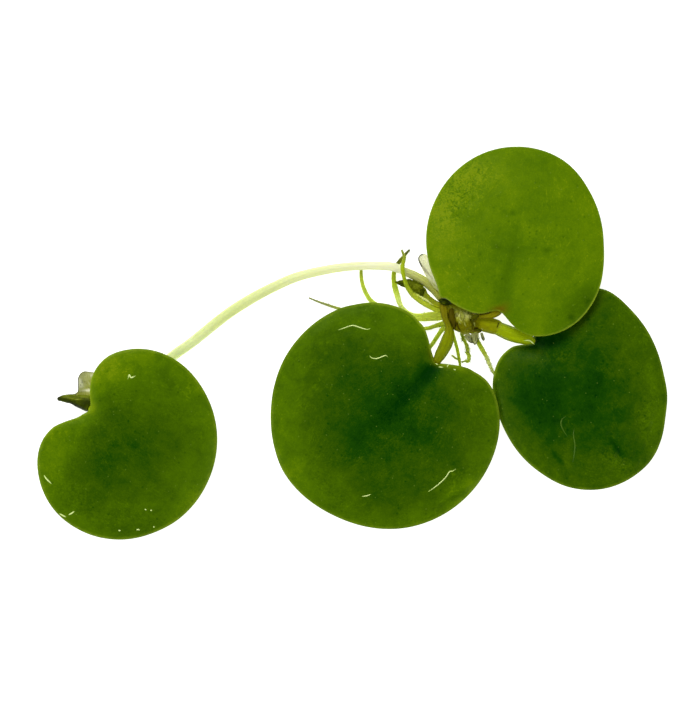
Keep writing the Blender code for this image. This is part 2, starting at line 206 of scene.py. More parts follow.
def makeWorld():
    # light comes from all around near the horizon; straight above stays dark, so that gloss keeps its colour
    world = bpy.data.worlds.new("studio")
    world.use_nodes = True
    bpy.context.scene.world = world
    add = nodeAdder(world.node_tree)
    direction = add("ShaderNodeTexCoord").outputs["Generated"]
    height = split(add, direction)[2]
    strength = remap(add, height, 0.35, 0.80, studio["horizon"], studio["overhead"])
    back = world.node_tree.nodes["Background"]
    back.inputs["Color"].default_value = (1, 1, 1, 1)
    world.node_tree.links.new(strength, back.inputs["Strength"])


def makeLight(name, place, size, power):
    light = bpy.data.lights.new(name, "AREA")
    light.shape = "DISK"
    light.size = size
    light.energy = power
    holder = bpy.data.objects.new(name, light)
    holder.location = place
    holder.rotation_euler = (-Vector(place)).to_track_quat("-Z", "Y").to_euler()
    bpy.context.scene.collection.objects.link(holder)


makeCamera()
makeFloor()
makeWorld()
makeLight("key light", (-0.18, 0.50, 0.62), 0.45, 3.2)
makeLight("left light", (-0.62, -0.15, 0.50), 0.35, 1.65)
makeLight("right light", (0.55, -0.35, 0.50), 0.35, 1.65)
bpy.context.scene.view_settings.view_transform = "Standard"
bpy.context.scene.view_settings.look = "None"
print("Camera, floor and light are ready")


# Shared shader groups

def makeMottleGroup():
    # soft patches of three sizes; the value moves around zero
    tree, add, given = newTree(
        "ShaderNodeTree", "soft mottle", {"Vector": ["Vector"], "Float": ["Size", "Amount"]},
        {"Float": ["Value"]})
    scale = calc(add, "DIVIDE", 1.0, given["Size"])
    total = 0.0
    for detail, share, factor in ((2, 1.0, 1.0), (3, 0.6, 3.1), (2, 0.45, 11.0)):
        noise = noiseAt(add, given["Vector"], times(add, scale, factor), detail, 0.55, 0.4)[0]
        total = plus(add, total, times(add, minus(add, noise, 0.5), share))
    add("NodeGroupOutput", {"Value": times(add, total, given["Amount"])})
    return tree


def makeVeinGroup():
    # arched main veins from the stalk to the tip, and the fine net between them, from the leaf's UV map:
    # U runs along the arches and V across them
    tree, add, given = newTree(
        "ShaderNodeTree", "leaf veins", {"Vector": ["UV"], "Float": ["Spacing", "Width", "Net"]},
        {"Float": ["Main", "Net"]})
    wobble = times(add, minus(add, noiseAt(add, given["UV"], 2.3)[0], 0.5), 0.10)
    across = plus(add, split(add, given["UV"])[1], wobble)
    steps = calc(add, "DIVIDE", across, given["Spacing"])
    nearest = calc(add, "ABSOLUTE", minus(add, steps, calc(add, "ROUND", steps)))
    net = add("ShaderNodeTexVoronoi", {"Vector": given["UV"], "Scale": given["Net"]},
              feature="DISTANCE_TO_EDGE", voronoi_dimensions="2D").outputs["Distance"]
    add("NodeGroupOutput", {
        "Main": remap(add, nearest, given["Width"], 0.0), "Net": remap(add, net, 0.10, 0.0)})
    return tree


def makeGrainGroup():
    # lengthwise streaks and small cells of stalks, runner, roots and skins, from the fibre attribute
    tree, add, given = newTree(
        "ShaderNodeTree", "plant grain", {"Vector": ["Vector"], "Float": ["Streaks", "Cells"]},
        {"Float": ["Streaks", "Cells"]})
    squash = vectorCalc(add, "MULTIPLY", given["Vector"], (1, 1, 0.12))
    streaks = remap(add, noiseAt(add, squash, given["Streaks"], 3, 0.6)[0], 0.32, 0.68)
    cells = remap(add, cellsAt(add, given["Vector"], given["Cells"], 0.9)["Distance"], 0.1, 0.65)
    add("NodeGroupOutput", {"Streaks": streaks, "Cells": cells})
    return tree


def makeFleckGroup():
    # fine pale strokes that follow the veins, sparse pale dots and sparse dark specks
    tree, add, given = newTree(
        "ShaderNodeTree", "leaf flecks", {"Vector": ["UV", "Vector"], "Float": ["Dots"]},
        {"Float": ["Strokes", "Dots", "Specks"]})
    squash = vectorCalc(add, "MULTIPLY", given["UV"], (5.0, 34.0, 0.0))
    warp = scaled(add, noiseAt(add, given["Vector"], 0.9)[1], 5.0)
    fine = remap(add, noiseAt(add, vectorCalc(add, "ADD", squash, warp), 1.0)[0], 0.56, 0.72)
    places = remap(add, noiseAt(add, given["Vector"], 0.35, 1)[0], 0.42, 0.62)
    found = {"Strokes": times(add, fine, places)}
    for label, scale, size, shift in (("Dots", given["Dots"], 0.16, 0.0), ("Specks", 1.1, 0.24, 40.0)):
        moved = vectorCalc(add, "ADD", given["Vector"], (shift, shift, 0.0))
        cell = cellsAt(add, moved, scale)
        chosen = calc(add, "GREATER_THAN", split(add, cell["Color"])[0], 0.72)
        found[label] = times(add, remap(add, cell["Distance"], size, size * 0.3), chosen)
    add("NodeGroupOutput", found)
    return tree


mottleGroup = makeMottleGroup()
fleckGroup = makeFleckGroup()
veinGroup = makeVeinGroup()
grainGroup = makeGrainGroup()


def mottleAt(add, place, size, amount):
    return useGroup(add, mottleGroup, {"Vector": place, "Size": size, "Amount": amount})[0]


# Leaf blades

# lengths in millimetres; each wave has a height and a length
leafShape = {
    "spokes": 288, "topRings": 84, "padRings": 52, "crowdNotch": 0.6, "padThinsBelow": 0.10,
    "padFlatAbove": 0.86, "contactShare": 0.45, "wave": (0.05, 6.0), "ripple": (0.018, 2.2), "crumple": 1.3,
    "veinGap": 0.42, "furrowDepth": 0.03, "furrowWidth": 0.09, "leastThick": 0.02,
    "cell": 1.15, "cellJitter": 0.22, "cellWall": 0.45, "cellRows": 16, "cellDepth": 0.16}

# centre and lengths in millimetres, bearings in degrees from +X towards +Y, as in the plant's solids.
# tones run from 0, yellow-green, to 1, the deepest green; patches are (x, y, bearing, long, short, tone)
leaves = {
    "leaf_top": {
        "centre": (21.1, 13.4), "notch": 258, "dome": 2.9, "rim": 1.7, "rimRise": (0, 0),
        "slope": (9, 250),
        "outline": [
            (0, 11.57), (30, 11.65), (60, 12.25), (100, 12.15), (150, 11.62), (180, 11.57), (197, 11.6),
            (206, 11.65), (212, 11.82), (217, 12.2), (220.5, 11.78), (225, 11.6), (233, 11.25),
            (241, 10.88), (246, 10.45), (250, 9.97), (254, 9.6), (258, 9.53), (262, 9.97), (267, 10.85),
            (273, 11.88), (280, 12.68), (294, 13.27), (306, 13.35), (318, 13.08), (330, 12.65),
            (345, 11.97)],
        "toneRim": 0.14, "toneMiddle": 0.19, "seed": 1, "mottle": 0.26, "rimWide": 0.3, "rimGlow": 0.12,
        "rimGlows": [(312, 32, 0.95), (205, 35, 0.35), (240, 22, 0.4)], "furrow": 0.35,
        "wrinkleLook": "pale glint wrinkle", "wrinkleWide": 0.06,
        "tints": [(-2.15, -9.1, 0, 1, 0.5, 1), (-1.5, -8.6, 30, 0.9, 0.5, 0.35)], "glows": [],
        "crinkles": [(-8.2, 5, 60, 4.5, 2.4, 1.5), (-5.5, 8, 30, 3, 2, 1.1), (4, 0, 0, 4, 3, 0.35)],
        "patches": [
            (-0.9, -4.2, 80, 4, 1, 0.19), (0.9, -1.3, 0, 1.6, 0.6, 0.11), (4.1, -1.4, 0, 0.55, 0.35, 0.2),
            (-2.2, -1, -30, 0.8, 0.4, 0.14), (-0.7, 3.5, 10, 1, 0.5, 0.1), (-0.3, 3.4, 0, 0.45, 0.3, 0.12),
            (-7.7, 3.5, 0, 0.8, 0.5, 0.12), (-0.8, 7.3, 90, 2.8, 1.6, -0.05), (3, 7.5, 80, 3, 1.2, 0.05),
            (8.6, -8.6, 40, 3.6, 2.2, 0.28), (7.2, -10.1, 0, 0.4, 0.4, 0.2), (9.4, -7.9, 0, 0.4, 0.4, 0.2),
            (-6.2, -0.8, 0, 0.4, 0.3, 0.1), (-6.1, -5.1, 0, 0.4, 0.3, 0.1), (-9.5, 3, 80, 6, 2.6, -0.13),
            (-4.5, 8.3, 0, 2.6, 2, -0.14), (2, 10.6, 0, 4, 1.2, 0.07)],
        "wrinkles": [], "folds": [], "crumple": [(-7, 6.5, 4, 0.025)]},
    "leaf_middle": {
        "centre": (4.2, -9.3), "notch": 46, "dome": 3, "rim": 1.8, "rimRise": (0, 0), "slope": (0, 0),
        "outline": [
            (-4, 15), (10, 14.6), (17, 14.13), (21.5, 13.6), (26, 12.88), (29, 12.45), (40, 10.3),
            (46, 9.6), (54, 10.3), (61, 11.55), (66, 12.5), (70, 12.93), (74, 13.42), (78.5, 13.83),
            (84, 14.18), (90, 14.47), (97, 14.72), (105, 14.86), (113, 15.03), (150, 14.98), (165, 14.88),
            (180, 14.85), (195, 14.98), (210, 15.13), (245, 14.7), (285, 15), (330, 15.1)],
        "toneRim": 0.31, "toneMiddle": 0.735, "seed": 2, "mottle": 0.42, "rimWide": 0.5, "rimGlow": 0.28,
        "rimGlows": [(75, 25, 0.45), (20, 25, 0.3)], "furrow": 0.5, "wrinkleLook": "pale glint wrinkle",
        "wrinkleWide": 0.058,
        "crinkles": [(2, -1, 46, 8, 5, 0.6), (-8, -9, -50, 3, 1.2, 0.8), (9, -8.5, 40, 3, 1.6, 0.6)],
        "tints": [(6.3, 7.6, -60, 0.9, 0.4, 0.6)],
        "glows": [
            (7.6, 6.6, -16, 1.5, 0.42, 0.8), (9.6, 6.2, -30, 1.4, 0.4, 0.5), (6.2, 8.4, -60, 1, 0.35, 0.4)],
        "patches": [
            (1.8, 1.9, 46, 7.5, 1.6, 0.2), (3.3, 3, 46, 3, 0.9, 0.13), (4.7, 7.3, 75, 1.7, 0.8, 0.15),
            # the first patch below darkens the blade at the notch as painted shade
            (6.1, 5.9, 46, 2.2, 1.2, 0.46), (6, -3.5, -60, 4, 2.6, 0.1), (0.5, 11, 0, 5, 2.6, -0.12),
            (-10.5, -7, -50, 4.5, 2.5, -0.16), (1.8, -12.2, 0, 4.5, 1.8, 0.01),
            (-4.2, 9.2, -40, 2.4, 0.6, 0.09), (-9.6, 5.2, 60, 2, 0.7, 0.08),
            (-3.2, -2.8, 46, 3, 1.4, 0.07), (7.8, 1.2, -60, 3, 0.8, 0.06),
            (9.3, -10.5, 30, 1.6, 0.35, 0.22), (9.6, -6.9, -45, 1.6, 0.5, 0.1),
            (12.5, 2, 80, 3.5, 1.2, 0.07), (8.2, 8.2, 46, 3, 2, 0.16), (0, -10, 0, 5, 2.6, 0.1),
            (-11.5, 1, 80, 4.5, 2.2, -0.14), (10.5, -9.5, 45, 3, 1.6, -0.15),
            (11.8, 1.5, 80, 3, 1.4, 0.04), (-8.5, 9, 40, 3, 1.6, 0.04)],
        "wrinkles": [
            [(-6.1, 11), (-5.5, 11.2), (-4.7, 11.5), (-4.1, 11.6), (-3.4, 11.4), (-2.8, 11.2),
             (-2.2, 11.1), (-1.8, 11.3)],
            [(-2, 7.7), (-1.7, 7.4), (-1.1, 7.3), (-0.5, 7.5), (0.1, 7.7), (0.4, 7.5)],
            [(5.6, -10), (6.2, -9.6), (7.1, -8.9), (7.9, -8.1), (8.4, -7.4), (8.8, -7.3), (9.3, -7)],
            [(-3, -10.6), (-2.3, -10.5), (-1.8, -10.3)], [(6.55, 6.75), (6.75, 6.6), (6.9, 6.5)],
            [(8.25, 6.55), (8.2, 6.4), (8.1, 6.2)], [(7, 6.25), (7.25, 6.2), (7.6, 6.15)],
            [(8.9, 5.95), (9.1, 5.85), (9.25, 5.85)]],
        "folds": [([(5.2, -12), (7, -11.6), (8.8, -11.2), (9.9, -10.4), (10.6, -9.7)], 0.5, 0.16)],
        "crumple": [(-3, 9.5, 3, 0.04), (8, -9.5, 3, 0.05)]},
    "leaf_right": {
        "centre": (30, -6.7), "notch": 134, "dome": 2.8, "rim": 1.25, "rimRise": (0.6, 320),
        "slope": (0, 0),
        "outline": [
            (0, 10.95), (15, 10.85), (30, 11.2), (45, 11.85), (60, 12.7), (75, 13.85), (82, 14.03),
            (90, 13.9), (105, 13), (116, 12), (125, 10.85), (130, 10), (134, 9.4), (138, 9.85),
            (142, 10.5), (146, 11.1), (156, 11.8), (168, 11.9), (180, 11.7), (195, 11.3), (212, 11.2),
            (240, 11.55), (262, 12.2), (285, 12.55), (310, 12.4), (320, 12.15), (330, 11.72), (345, 11.1)],
        "toneRim": 0.44, "toneMiddle": 0.8, "seed": 3, "mottle": 0.46, "rimWide": 0.45, "rimGlow": 0.28,
        "rimGlows": [(150, 20, 0.3)], "furrow": 0.4, "wrinkleLook": "soft glint wrinkle", "wrinkleWide": 0.075,
        "crinkles": [
            (4.2, -8.4, -20, 3, 1.6, 1.2), (8.3, -3, 80, 3.2, 1.6, 1), (-3, 5.2, 10, 3.5, 1.6, 0.9),
            (4, 4, 20, 3, 1.5, 0.5)],
        "tints": [], "glows": [(-7.6, 6.9, 40, 1.2, 0.3, 0.5)],
        "patches": [
            # the second and third patches are painted shadow where the top leaf overhangs the notch
            (-5.2, -1, 90, 4, 3, 0.14), (-4.8, 7.2, 10, 3.2, 1.6, 0.2), (-5.2, 6.9, 0, 2, 0.9, 0.28),
            (6.8, -7.8, 60, 2.2, 1.2, 0.06), (5.4, -8.2, 0, 2.2, 1.4, 0.08),
            (4.35, -6.9, -56, 1.8, 0.36, 0.28), (4, -8.5, -12, 2, 0.5, -0.14),
            (6.3, 1.3, 90, 3, 1.8, -0.05), (3, -9, 0, 2.4, 1, -0.1), (8.4, -1.5, 90, 5.5, 1.6, -0.14),
            (3.5, 6, 20, 4.5, 2.5, -0.07), (-9, -2, 100, 4, 1.2, -0.07), (-3.2, -8.4, -50, 1.3, 0.35, 0.2),
            (2.4, 2.3, 60, 0.9, 0.5, 0.1), (-2, -7.3, 90, 1.6, 0.6, -0.14), (-8.2, 1, 90, 5, 2, 0.12)],
        "wrinkles": [
            [(-2.3, -2.8), (-2.8, -3.2), (-2.9, -3.9), (-2.5, -4.8), (-2, -5.5)],
            [(-1.2, -4.3), (-1.3, -5.2), (-1.1, -6.5), (-1.2, -7.8), (-1.4, -8.9)]],
        "folds": [
            ([(-2.9, -3.9), (-2.2, -5.5), (-1.7, -7.3), (-1.6, -9)], 0.8, -0.22),
            ([(3.6, -5.3), (4.2, -6.6), (4.9, -7.7), (5.9, -8.4)], 0.7, -0.18)],
        "crumple": [(4.5, -8, 3.2, 0.16), (8, -3.5, 2.8, 0.09)]},
    "daughter_leaf": {
        "centre": (-28.7, -13.2), "notch": 140, "dome": 2.9, "rim": 1.8, "rimRise": (0, 0),
        "slope": (7.5, 125),
        "outline": [
            (0, 11.1), (30, 11.6), (60, 12.4), (75, 12.6), (90, 12.45), (105, 11.85), (117, 10.6),
            (127, 8.9), (134, 7.6), (140, 7.1), (147, 7.4), (154, 8), (161, 9.2), (168, 10.5), (180, 11.8),
            (195, 12.6), (218, 13.15), (240, 13), (262, 12.5), (285, 11.8), (300, 11.5), (315, 11.22),
            (335, 11)],
        "toneRim": 0.23, "toneMiddle": 0.59, "seed": 4, "mottle": 0.4, "rimWide": 0.5, "rimGlow": 0.36,
        "rimGlows": [], "furrow": 0.5, "wrinkleLook": "pale glint wrinkle", "wrinkleWide": 0.085,
        "crinkles": [(-4, 1, 50, 5, 4, 0.6), (-7, -7, -40, 4, 2, 0.8), (1, -9.5, 0, 4, 1.6, 0.6)],
        "tints": [],
        "glows": [
            (-5.3, 6.3, 100, 1.8, 0.4, 0.55), (-5, 4.7, 60, 0.8, 0.4, 0.45), (-7.2, 3.7, 25, 2, 0.4, 0.45)],
        "patches": [
            (-2.3, -1.2, 60, 4, 2.4, 0.11), (-2.9, 10, 0, 5, 2.2, -0.18), (-6.5, 8, 40, 2.4, 2, -0.09),
            (-9.5, -1.5, 50, 3, 1.8, -0.16), (-3.3, 8, 0, 2.4, 1.6, -0.09), (-7.6, 2.2, 25, 2.4, 1, -0.07),
            (-6.2, -7, 0, 2.6, 1.6, 0.08), (-5.5, -4.2, 0, 2.6, 1.6, 0.09), (3, 5, 0, 5, 2.5, -0.05),
            (9.8, 1.5, 80, 3.5, 1.2, 0.01), (-3, -8, 0, 5, 1.5, 0.06), (-2.2, 0.2, 60, 0.6, 0.4, 0.08),
            (0, -11, 0, 6, 1.6, 0.16)],
        "wrinkles": [
            [(-0.4, 8.55), (-0.22, 9.1), (-0.05, 8.8), (0.2, 8.78), (0.6, 8.98)],
            [(-11.33, -3.9), (-10.95, -4.45), (-10.3, -5.1)], [(-8.2, -9.1), (-7.8, -8.9), (-7.4, -8.6)],
            [(-9.4, -8.9), (-8.9, -9.2), (-8.5, -9.4)], [(1.7, -8.38), (1.8, -8.42), (1.92, -8.46)],
            [(2.43, -8.5), (2.53, -8.52), (2.63, -8.5)], [(0.6, -11.1), (0.8, -11.02), (1.05, -11.12)],
            [(2.76, -10.7), (2.86, -10.7), (2.96, -10.7)],
            [(-1.75, -11.16), (-1.6, -11.16), (-1.45, -11.16)]],
        "folds": [], "crumple": [(-6, -8.5, 3.5, 0.06), (2, -9.5, 3, 0.05)]},
}


def reachAt(bearings, outline):
    # distance from the centre to the edge on a smooth closed curve through the outline
    at = np.array([place for place, _ in outline], float)
    reach = np.array([length for _, length in outline], float)
    count = len(at)
    wide = np.concatenate([at - 360, at, at + 360])
    tall = np.tile(reach, 3)
    slopes = (tall[2:] - tall[:-2]) / (wide[2:] - wide[:-2])
    turned = (bearings - at[0]) % 360 + at[0]
    index = np.searchsorted(wide, turned, side="right") - 1
    index = np.clip(index, count, 2 * count - 1)
    span = wide[index + 1] - wide[index]
    t = (turned - wide[index]) / span
    return (tall[index] * (2 * t**3 - 3 * t**2 + 1) + slopes[index - 1] * span * (t**3 - 2 * t**2 + t)
            + tall[index + 1] * (3 * t**2 - 2 * t**3) + slopes[index] * span * (t**3 - t**2))


def smoothStep(low, high, value):
    share = np.clip((value - low) / (high - low), 0, 1)
    return share * share * (3 - 2 * share)


def leafHeight(leaf, bearing, reach, share, isTop):
    # height of the top or of the pad below, in millimetres, at a share of the reach
    dome = np.sqrt(np.clip(1 - share**2, 0, 1))
    rise, riseAt = leaf["rimRise"]
    rim = leaf["rim"] + rise * np.cos(np.radians(bearing - riseAt))
    if isTop:
        height = rim + (leaf["dome"] - rim) * dome
    else:
        height = rim * (1 - smoothStep(leafShape["padThinsBelow"], leafShape["padFlatAbove"], dome))
    slope, slopeAt = leaf["slope"]
    meanReach = np.mean([length for _, length in leaf["outline"]])
    uphill = reach * share * np.cos(np.radians(bearing - slopeAt))
    height = height + (uphill + leafShape["contactShare"] * meanReach) * math.tan(math.radians(slope))
    return np.maximum(height, 0)


def ripples(x, y, length, seed, count=9):
    # gentle random waves of about one length, from -1 to 1
    rng = np.random.RandomState(seed)
    total = np.zeros_like(x)
    for _ in range(count):
        turn, phase = rng.uniform(0, 2 * math.pi, 2)
        size = length * rng.uniform(0.7, 1.4)
        total += np.sin((x * math.cos(turn) + y * math.sin(turn)) * 2 * math.pi / size + phase)
    return total / count * 1.6


def patchSum(x, y, patches):
    # the sum of soft ovals, each with its middle, bearing, half length, half width and strength
    total = np.zeros(np.broadcast(x, y).shape)
    for px, py, bearing, far, near, amount in patches:
        turn = math.radians(bearing)
        along = (x - px) * math.cos(turn) + (y - py) * math.sin(turn)
        across = -(x - px) * math.sin(turn) + (y - py) * math.cos(turn)
        total += amount * np.exp(-(along / far) ** 2 - (across / near) ** 2)
    return total


def distanceToLine(x, y, route):
    best = np.full_like(x, 1e9)
    for (ax, ay), (bx, by) in zip(route, route[1:]):
        dx, dy = bx - ax, by - ay
        t = np.clip(((x - ax) * dx + (y - ay) * dy) / (dx * dx + dy * dy), 0, 1)
        best = np.minimum(best, np.hypot(x - ax - t * dx, y - ay - t * dy))
    return best


def leafRelief(leaf, x, y, share, arch):
    # small rises and dips of the upper skin in millimetres: waves, folds, crumpled places and vein furrows
    seed = int(leaf["seed"] * 10)
    (wave, waveLong), (ripple, rippleLong) = leafShape["wave"], leafShape["ripple"]
    relief = wave * ripples(x, y, waveLong, seed) + ripple * ripples(x, y, rippleLong, seed + 1)
    for px, py, size, height in leaf["crumple"]:
        near = np.exp(-((x - px) ** 2 + (y - py) ** 2) / size**2)
        relief += height * near * ripples(x, y, leafShape["crumple"], seed + 2)
    for route, width, height in leaf["folds"]:
        relief += height * np.exp(-(distanceToLine(x, y, route) / width) ** 2)
    furrow = np.abs(arch / leafShape["veinGap"] - np.round(arch / leafShape["veinGap"]))
    furrow = np.exp(-(furrow / leafShape["furrowWidth"]) ** 2)
    relief -= leafShape["furrowDepth"] * leaf["furrow"] * furrow
    return relief * smoothStep(0.0, 0.10, 1 - share)


def archOf(leaf, x, y):
    # where a point lies on the arches that run from the notch to the tip: (along, across)
    notch = math.radians(leaf["notch"])
    near = float(reachAt(np.array([leaf["notch"]], float), leaf["outline"])[0])
    far = float(reachAt(np.array([leaf["notch"] + 180.0]), leaf["outline"])[0])
    ax, ay = near * math.cos(notch) - x, near * math.sin(notch) - y
    bx, by = -far * math.cos(notch) - x, -far * math.sin(notch) - y
    angle = np.arctan2(ax * by - ay * bx, ax * bx + ay * by)
    across = np.where(angle >= 0, 1, -1) * (math.pi - np.abs(angle))
    along = np.log((np.hypot(ax, ay) + 0.3) / (np.hypot(bx, by) + 0.3))
    return along, across


def padCells(x, y, seed):
    # honeycomb of the spongy pad: 1 on the walls, 0 in the middle of each cell
    rng = np.random.RandomState(seed)
    cell, rows = leafShape["cell"], range(-leafShape["cellRows"], leafShape["cellRows"] + 1)
    points = []
    for row in rows:
        for column in rows:
            jitter = rng.uniform(-leafShape["cellJitter"], leafShape["cellJitter"], 2) * cell
            points.append(((column + 0.5 * (row % 2)) * cell + jitter[0], row * cell * 0.87 + jitter[1], 0))
    tree = kdtree.KDTree(len(points))
    for index, point in enumerate(points):
        tree.insert(point, index)
    tree.balance()
    walls = np.empty(x.size)
    for index, (px, py) in enumerate(zip(x.ravel(), y.ravel())):
        (_, _, first), (_, _, second) = tree.find_n((px, py, 0), 2)
        walls[index] = second - first
    return (1 - smoothStep(0.0, leafShape["cellWall"], walls)).reshape(x.shape)


def loftMesh(name, rings, startPole, endPole, loopUv=None):
    # closed mesh from rings of points in metres, with a pole at each end; rings turn the same way
    count, sides = rings.shape[:2]
    points = np.concatenate([[startPole], rings.reshape(-1, 3), [endPole]])
    j = np.arange(sides)
    k = (j + 1) % sides
    faces = np.stack([np.zeros(sides, int), 1 + j, 1 + k], 1).tolist()
    for ring in range(count - 1):
        a = 1 + ring * sides
        b = a + sides
        faces += np.stack([a + j, b + j, b + k, a + k], 1).tolist()
    last = 1 + (count - 1) * sides
    faces += np.stack([last + k, last + j, np.full(sides, len(points) - 1)], 1).tolist()
    mesh = bpy.data.meshes.new(name)
    mesh.from_pydata(points.tolist(), [], faces)
    mesh.shade_smooth()
    if loopUv is not None:
        layer = mesh.uv_layers.new(name="UVMap")
        index = np.empty(len(mesh.loops), np.int32)
        mesh.loops.foreach_get("vertex_index", index)
        layer.data.foreach_set("uv", loopUv[index].astype(np.float32).ravel())
    return mesh


def addAttributes(mesh, tables):
    for name, values in tables.items():
        layer = mesh.attributes.new(name, "FLOAT", "POINT")
        layer.data.foreach_set("value", np.asarray(values, np.float32).ravel())


def addPiece(name, mesh, material, nodes):
    # a finished piece: it rides on the plant's one body, takes a finish slot and stands for its nodes
    piece = bpy.data.objects.new(name, mesh)
    bpy.context.scene.collection.objects.link(piece)
    mesh.name = name
    mesh.materials.clear()
    mesh.materials.append(material)
    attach(piece, "root")
    if nodes:
        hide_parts(*nodes)
    return piece


def makeLeaf(name, leaf):
    spokes = leafShape["spokes"]
    turn = np.linspace(0, 2 * math.pi, spokes, endpoint=False)
    bearing = leaf["notch"] + np.degrees(turn - leafShape["crowdNotch"] * np.sin(turn))
    reach = reachAt(bearing, leaf["outline"])
    topShares = np.sin(np.linspace(0, math.pi / 2, leafShape["topRings"] + 1)[1:])
    padShares = np.sin(np.linspace(math.pi / 2, 0, leafShape["padRings"] + 1)[1:-1])
    shares = np.concatenate([[0.0], topShares, padShares, [0.0]])
    isTop = (np.arange(len(shares)) <= len(topShares))[:, None]
    x = np.outer(shares, reach * np.cos(np.radians(bearing)))
    y = np.outer(shares, reach * np.sin(np.radians(bearing)))
    share = np.repeat(shares[:, None], spokes, 1)
    along, across = archOf(leaf, x, y)
    top = leafHeight(leaf, bearing[None, :], reach[None, :], share, True)
    top = top + leafRelief(leaf, x, y, share, across)
    walls = np.zeros_like(x)
    below = ~isTop[:, 0]
    walls[below] = padCells(x[below], y[below], int(leaf["seed"] * 100))
    pad = leafHeight(leaf, bearing[None, :], reach[None, :], share, False)
    pad = pad + leafShape["cellDepth"] * (1 - walls) * smoothStep(0.02, 0.20, 1 - share)
    z = np.where(isTop, top, np.minimum(pad, top - leafShape["leastThick"]))
    cx, cy = leaf["centre"]
    rings = np.stack([x + cx, y + cy, z], 2) * mm
    # the tone lightens from the thick middle towards the thin rim: partly the blade's own colour, partly
    # painted light standing in for light passing through the thinner blade
    tone = leaf["toneRim"] + (leaf["toneMiddle"] - leaf["toneRim"]) * (1 - share**1.5)
    rimLight = np.full(spokes, leaf["rimGlow"])
    for at, wide, amount in leaf["rimGlows"]:
        away = (bearing - at + 180) % 360 - 180
        rimLight += amount * np.exp(-(away / wide) ** 2)
    flat = lambda values: np.concatenate([[values[0, 0]], values[1:-1].ravel(), [values[-1, 0]]])
    mesh = loftMesh(name, rings[1:-1], rings[0, 0], rings[-1, 0], np.stack([flat(along), flat(across)], 1))
    addAttributes(mesh, {label: flat(values) for label, values in {
        "tone": tone + patchSum(x, y, leaf["patches"]),
        "rimGap": (1 - share) * reach[None, :],
        "rimLight": np.repeat(rimLight[None, :], len(shares), 0),
        "pad": np.where(isTop, 0.0, smoothStep(0.0, 0.05, 1 - share)),
        "walls": walls,
        "tint": np.clip(patchSum(x, y, leaf["tints"]), 0, 1),
        "glow": np.clip(patchSum(x, y, leaf["glows"]), 0, 1),
        "crinkle": patchSum(x, y, leaf["crinkles"])}.items()})
    return mesh


def leafTopAt(leaf, x, y):
    bearing = np.degrees(np.arctan2(y, x))
    reach = reachAt(bearing, leaf["outline"])
    share = np.clip(np.hypot(x, y) / reach, 0, 1)
    along, across = archOf(leaf, x, y)
    return leafHeight(leaf, bearing, reach, share, True) + leafRelief(leaf, x, y, share, across)


leafLook = {
    "roughness": (0.26, 0.42), "mottleSize": 3.0, "speckle": 0.07, "speckleScale": 4.5,
    "veins": {"Spacing": leafShape["veinGap"], "Width": 0.06, "Net": 9.0}, "dotScale": 1.4,
    "crinkleSize": 0.42, "crinkleLightAndShade": 0.70, "wallShare": 0.5, "padShare": 0.85,
    "padColour": (0.34, 0.42, 0.16), "wallColour": (0.20, 0.28, 0.06), "rimHighlightColour": (0.30, 0.42, 0.02),
    "tintColour": (0.155, 0.140, 0.002), "glowColour": (0.24, 0.36, 0.002), "paleColour": (0.32, 0.46, 0.06)}

# greens from the thin yellow rim to the deepest middle
leafGreens = [
    (0, (0.235, 0.345, 0.004)), (0.12, (0.15, 0.27, 0.0012)), (0.27, (0.095, 0.2, 0.0008)),
    (0.5, (0.053, 0.127, 0.0006)), (0.75, (0.012, 0.074, 0.0006)), (1, (0.0015, 0.038, 0.0004))]


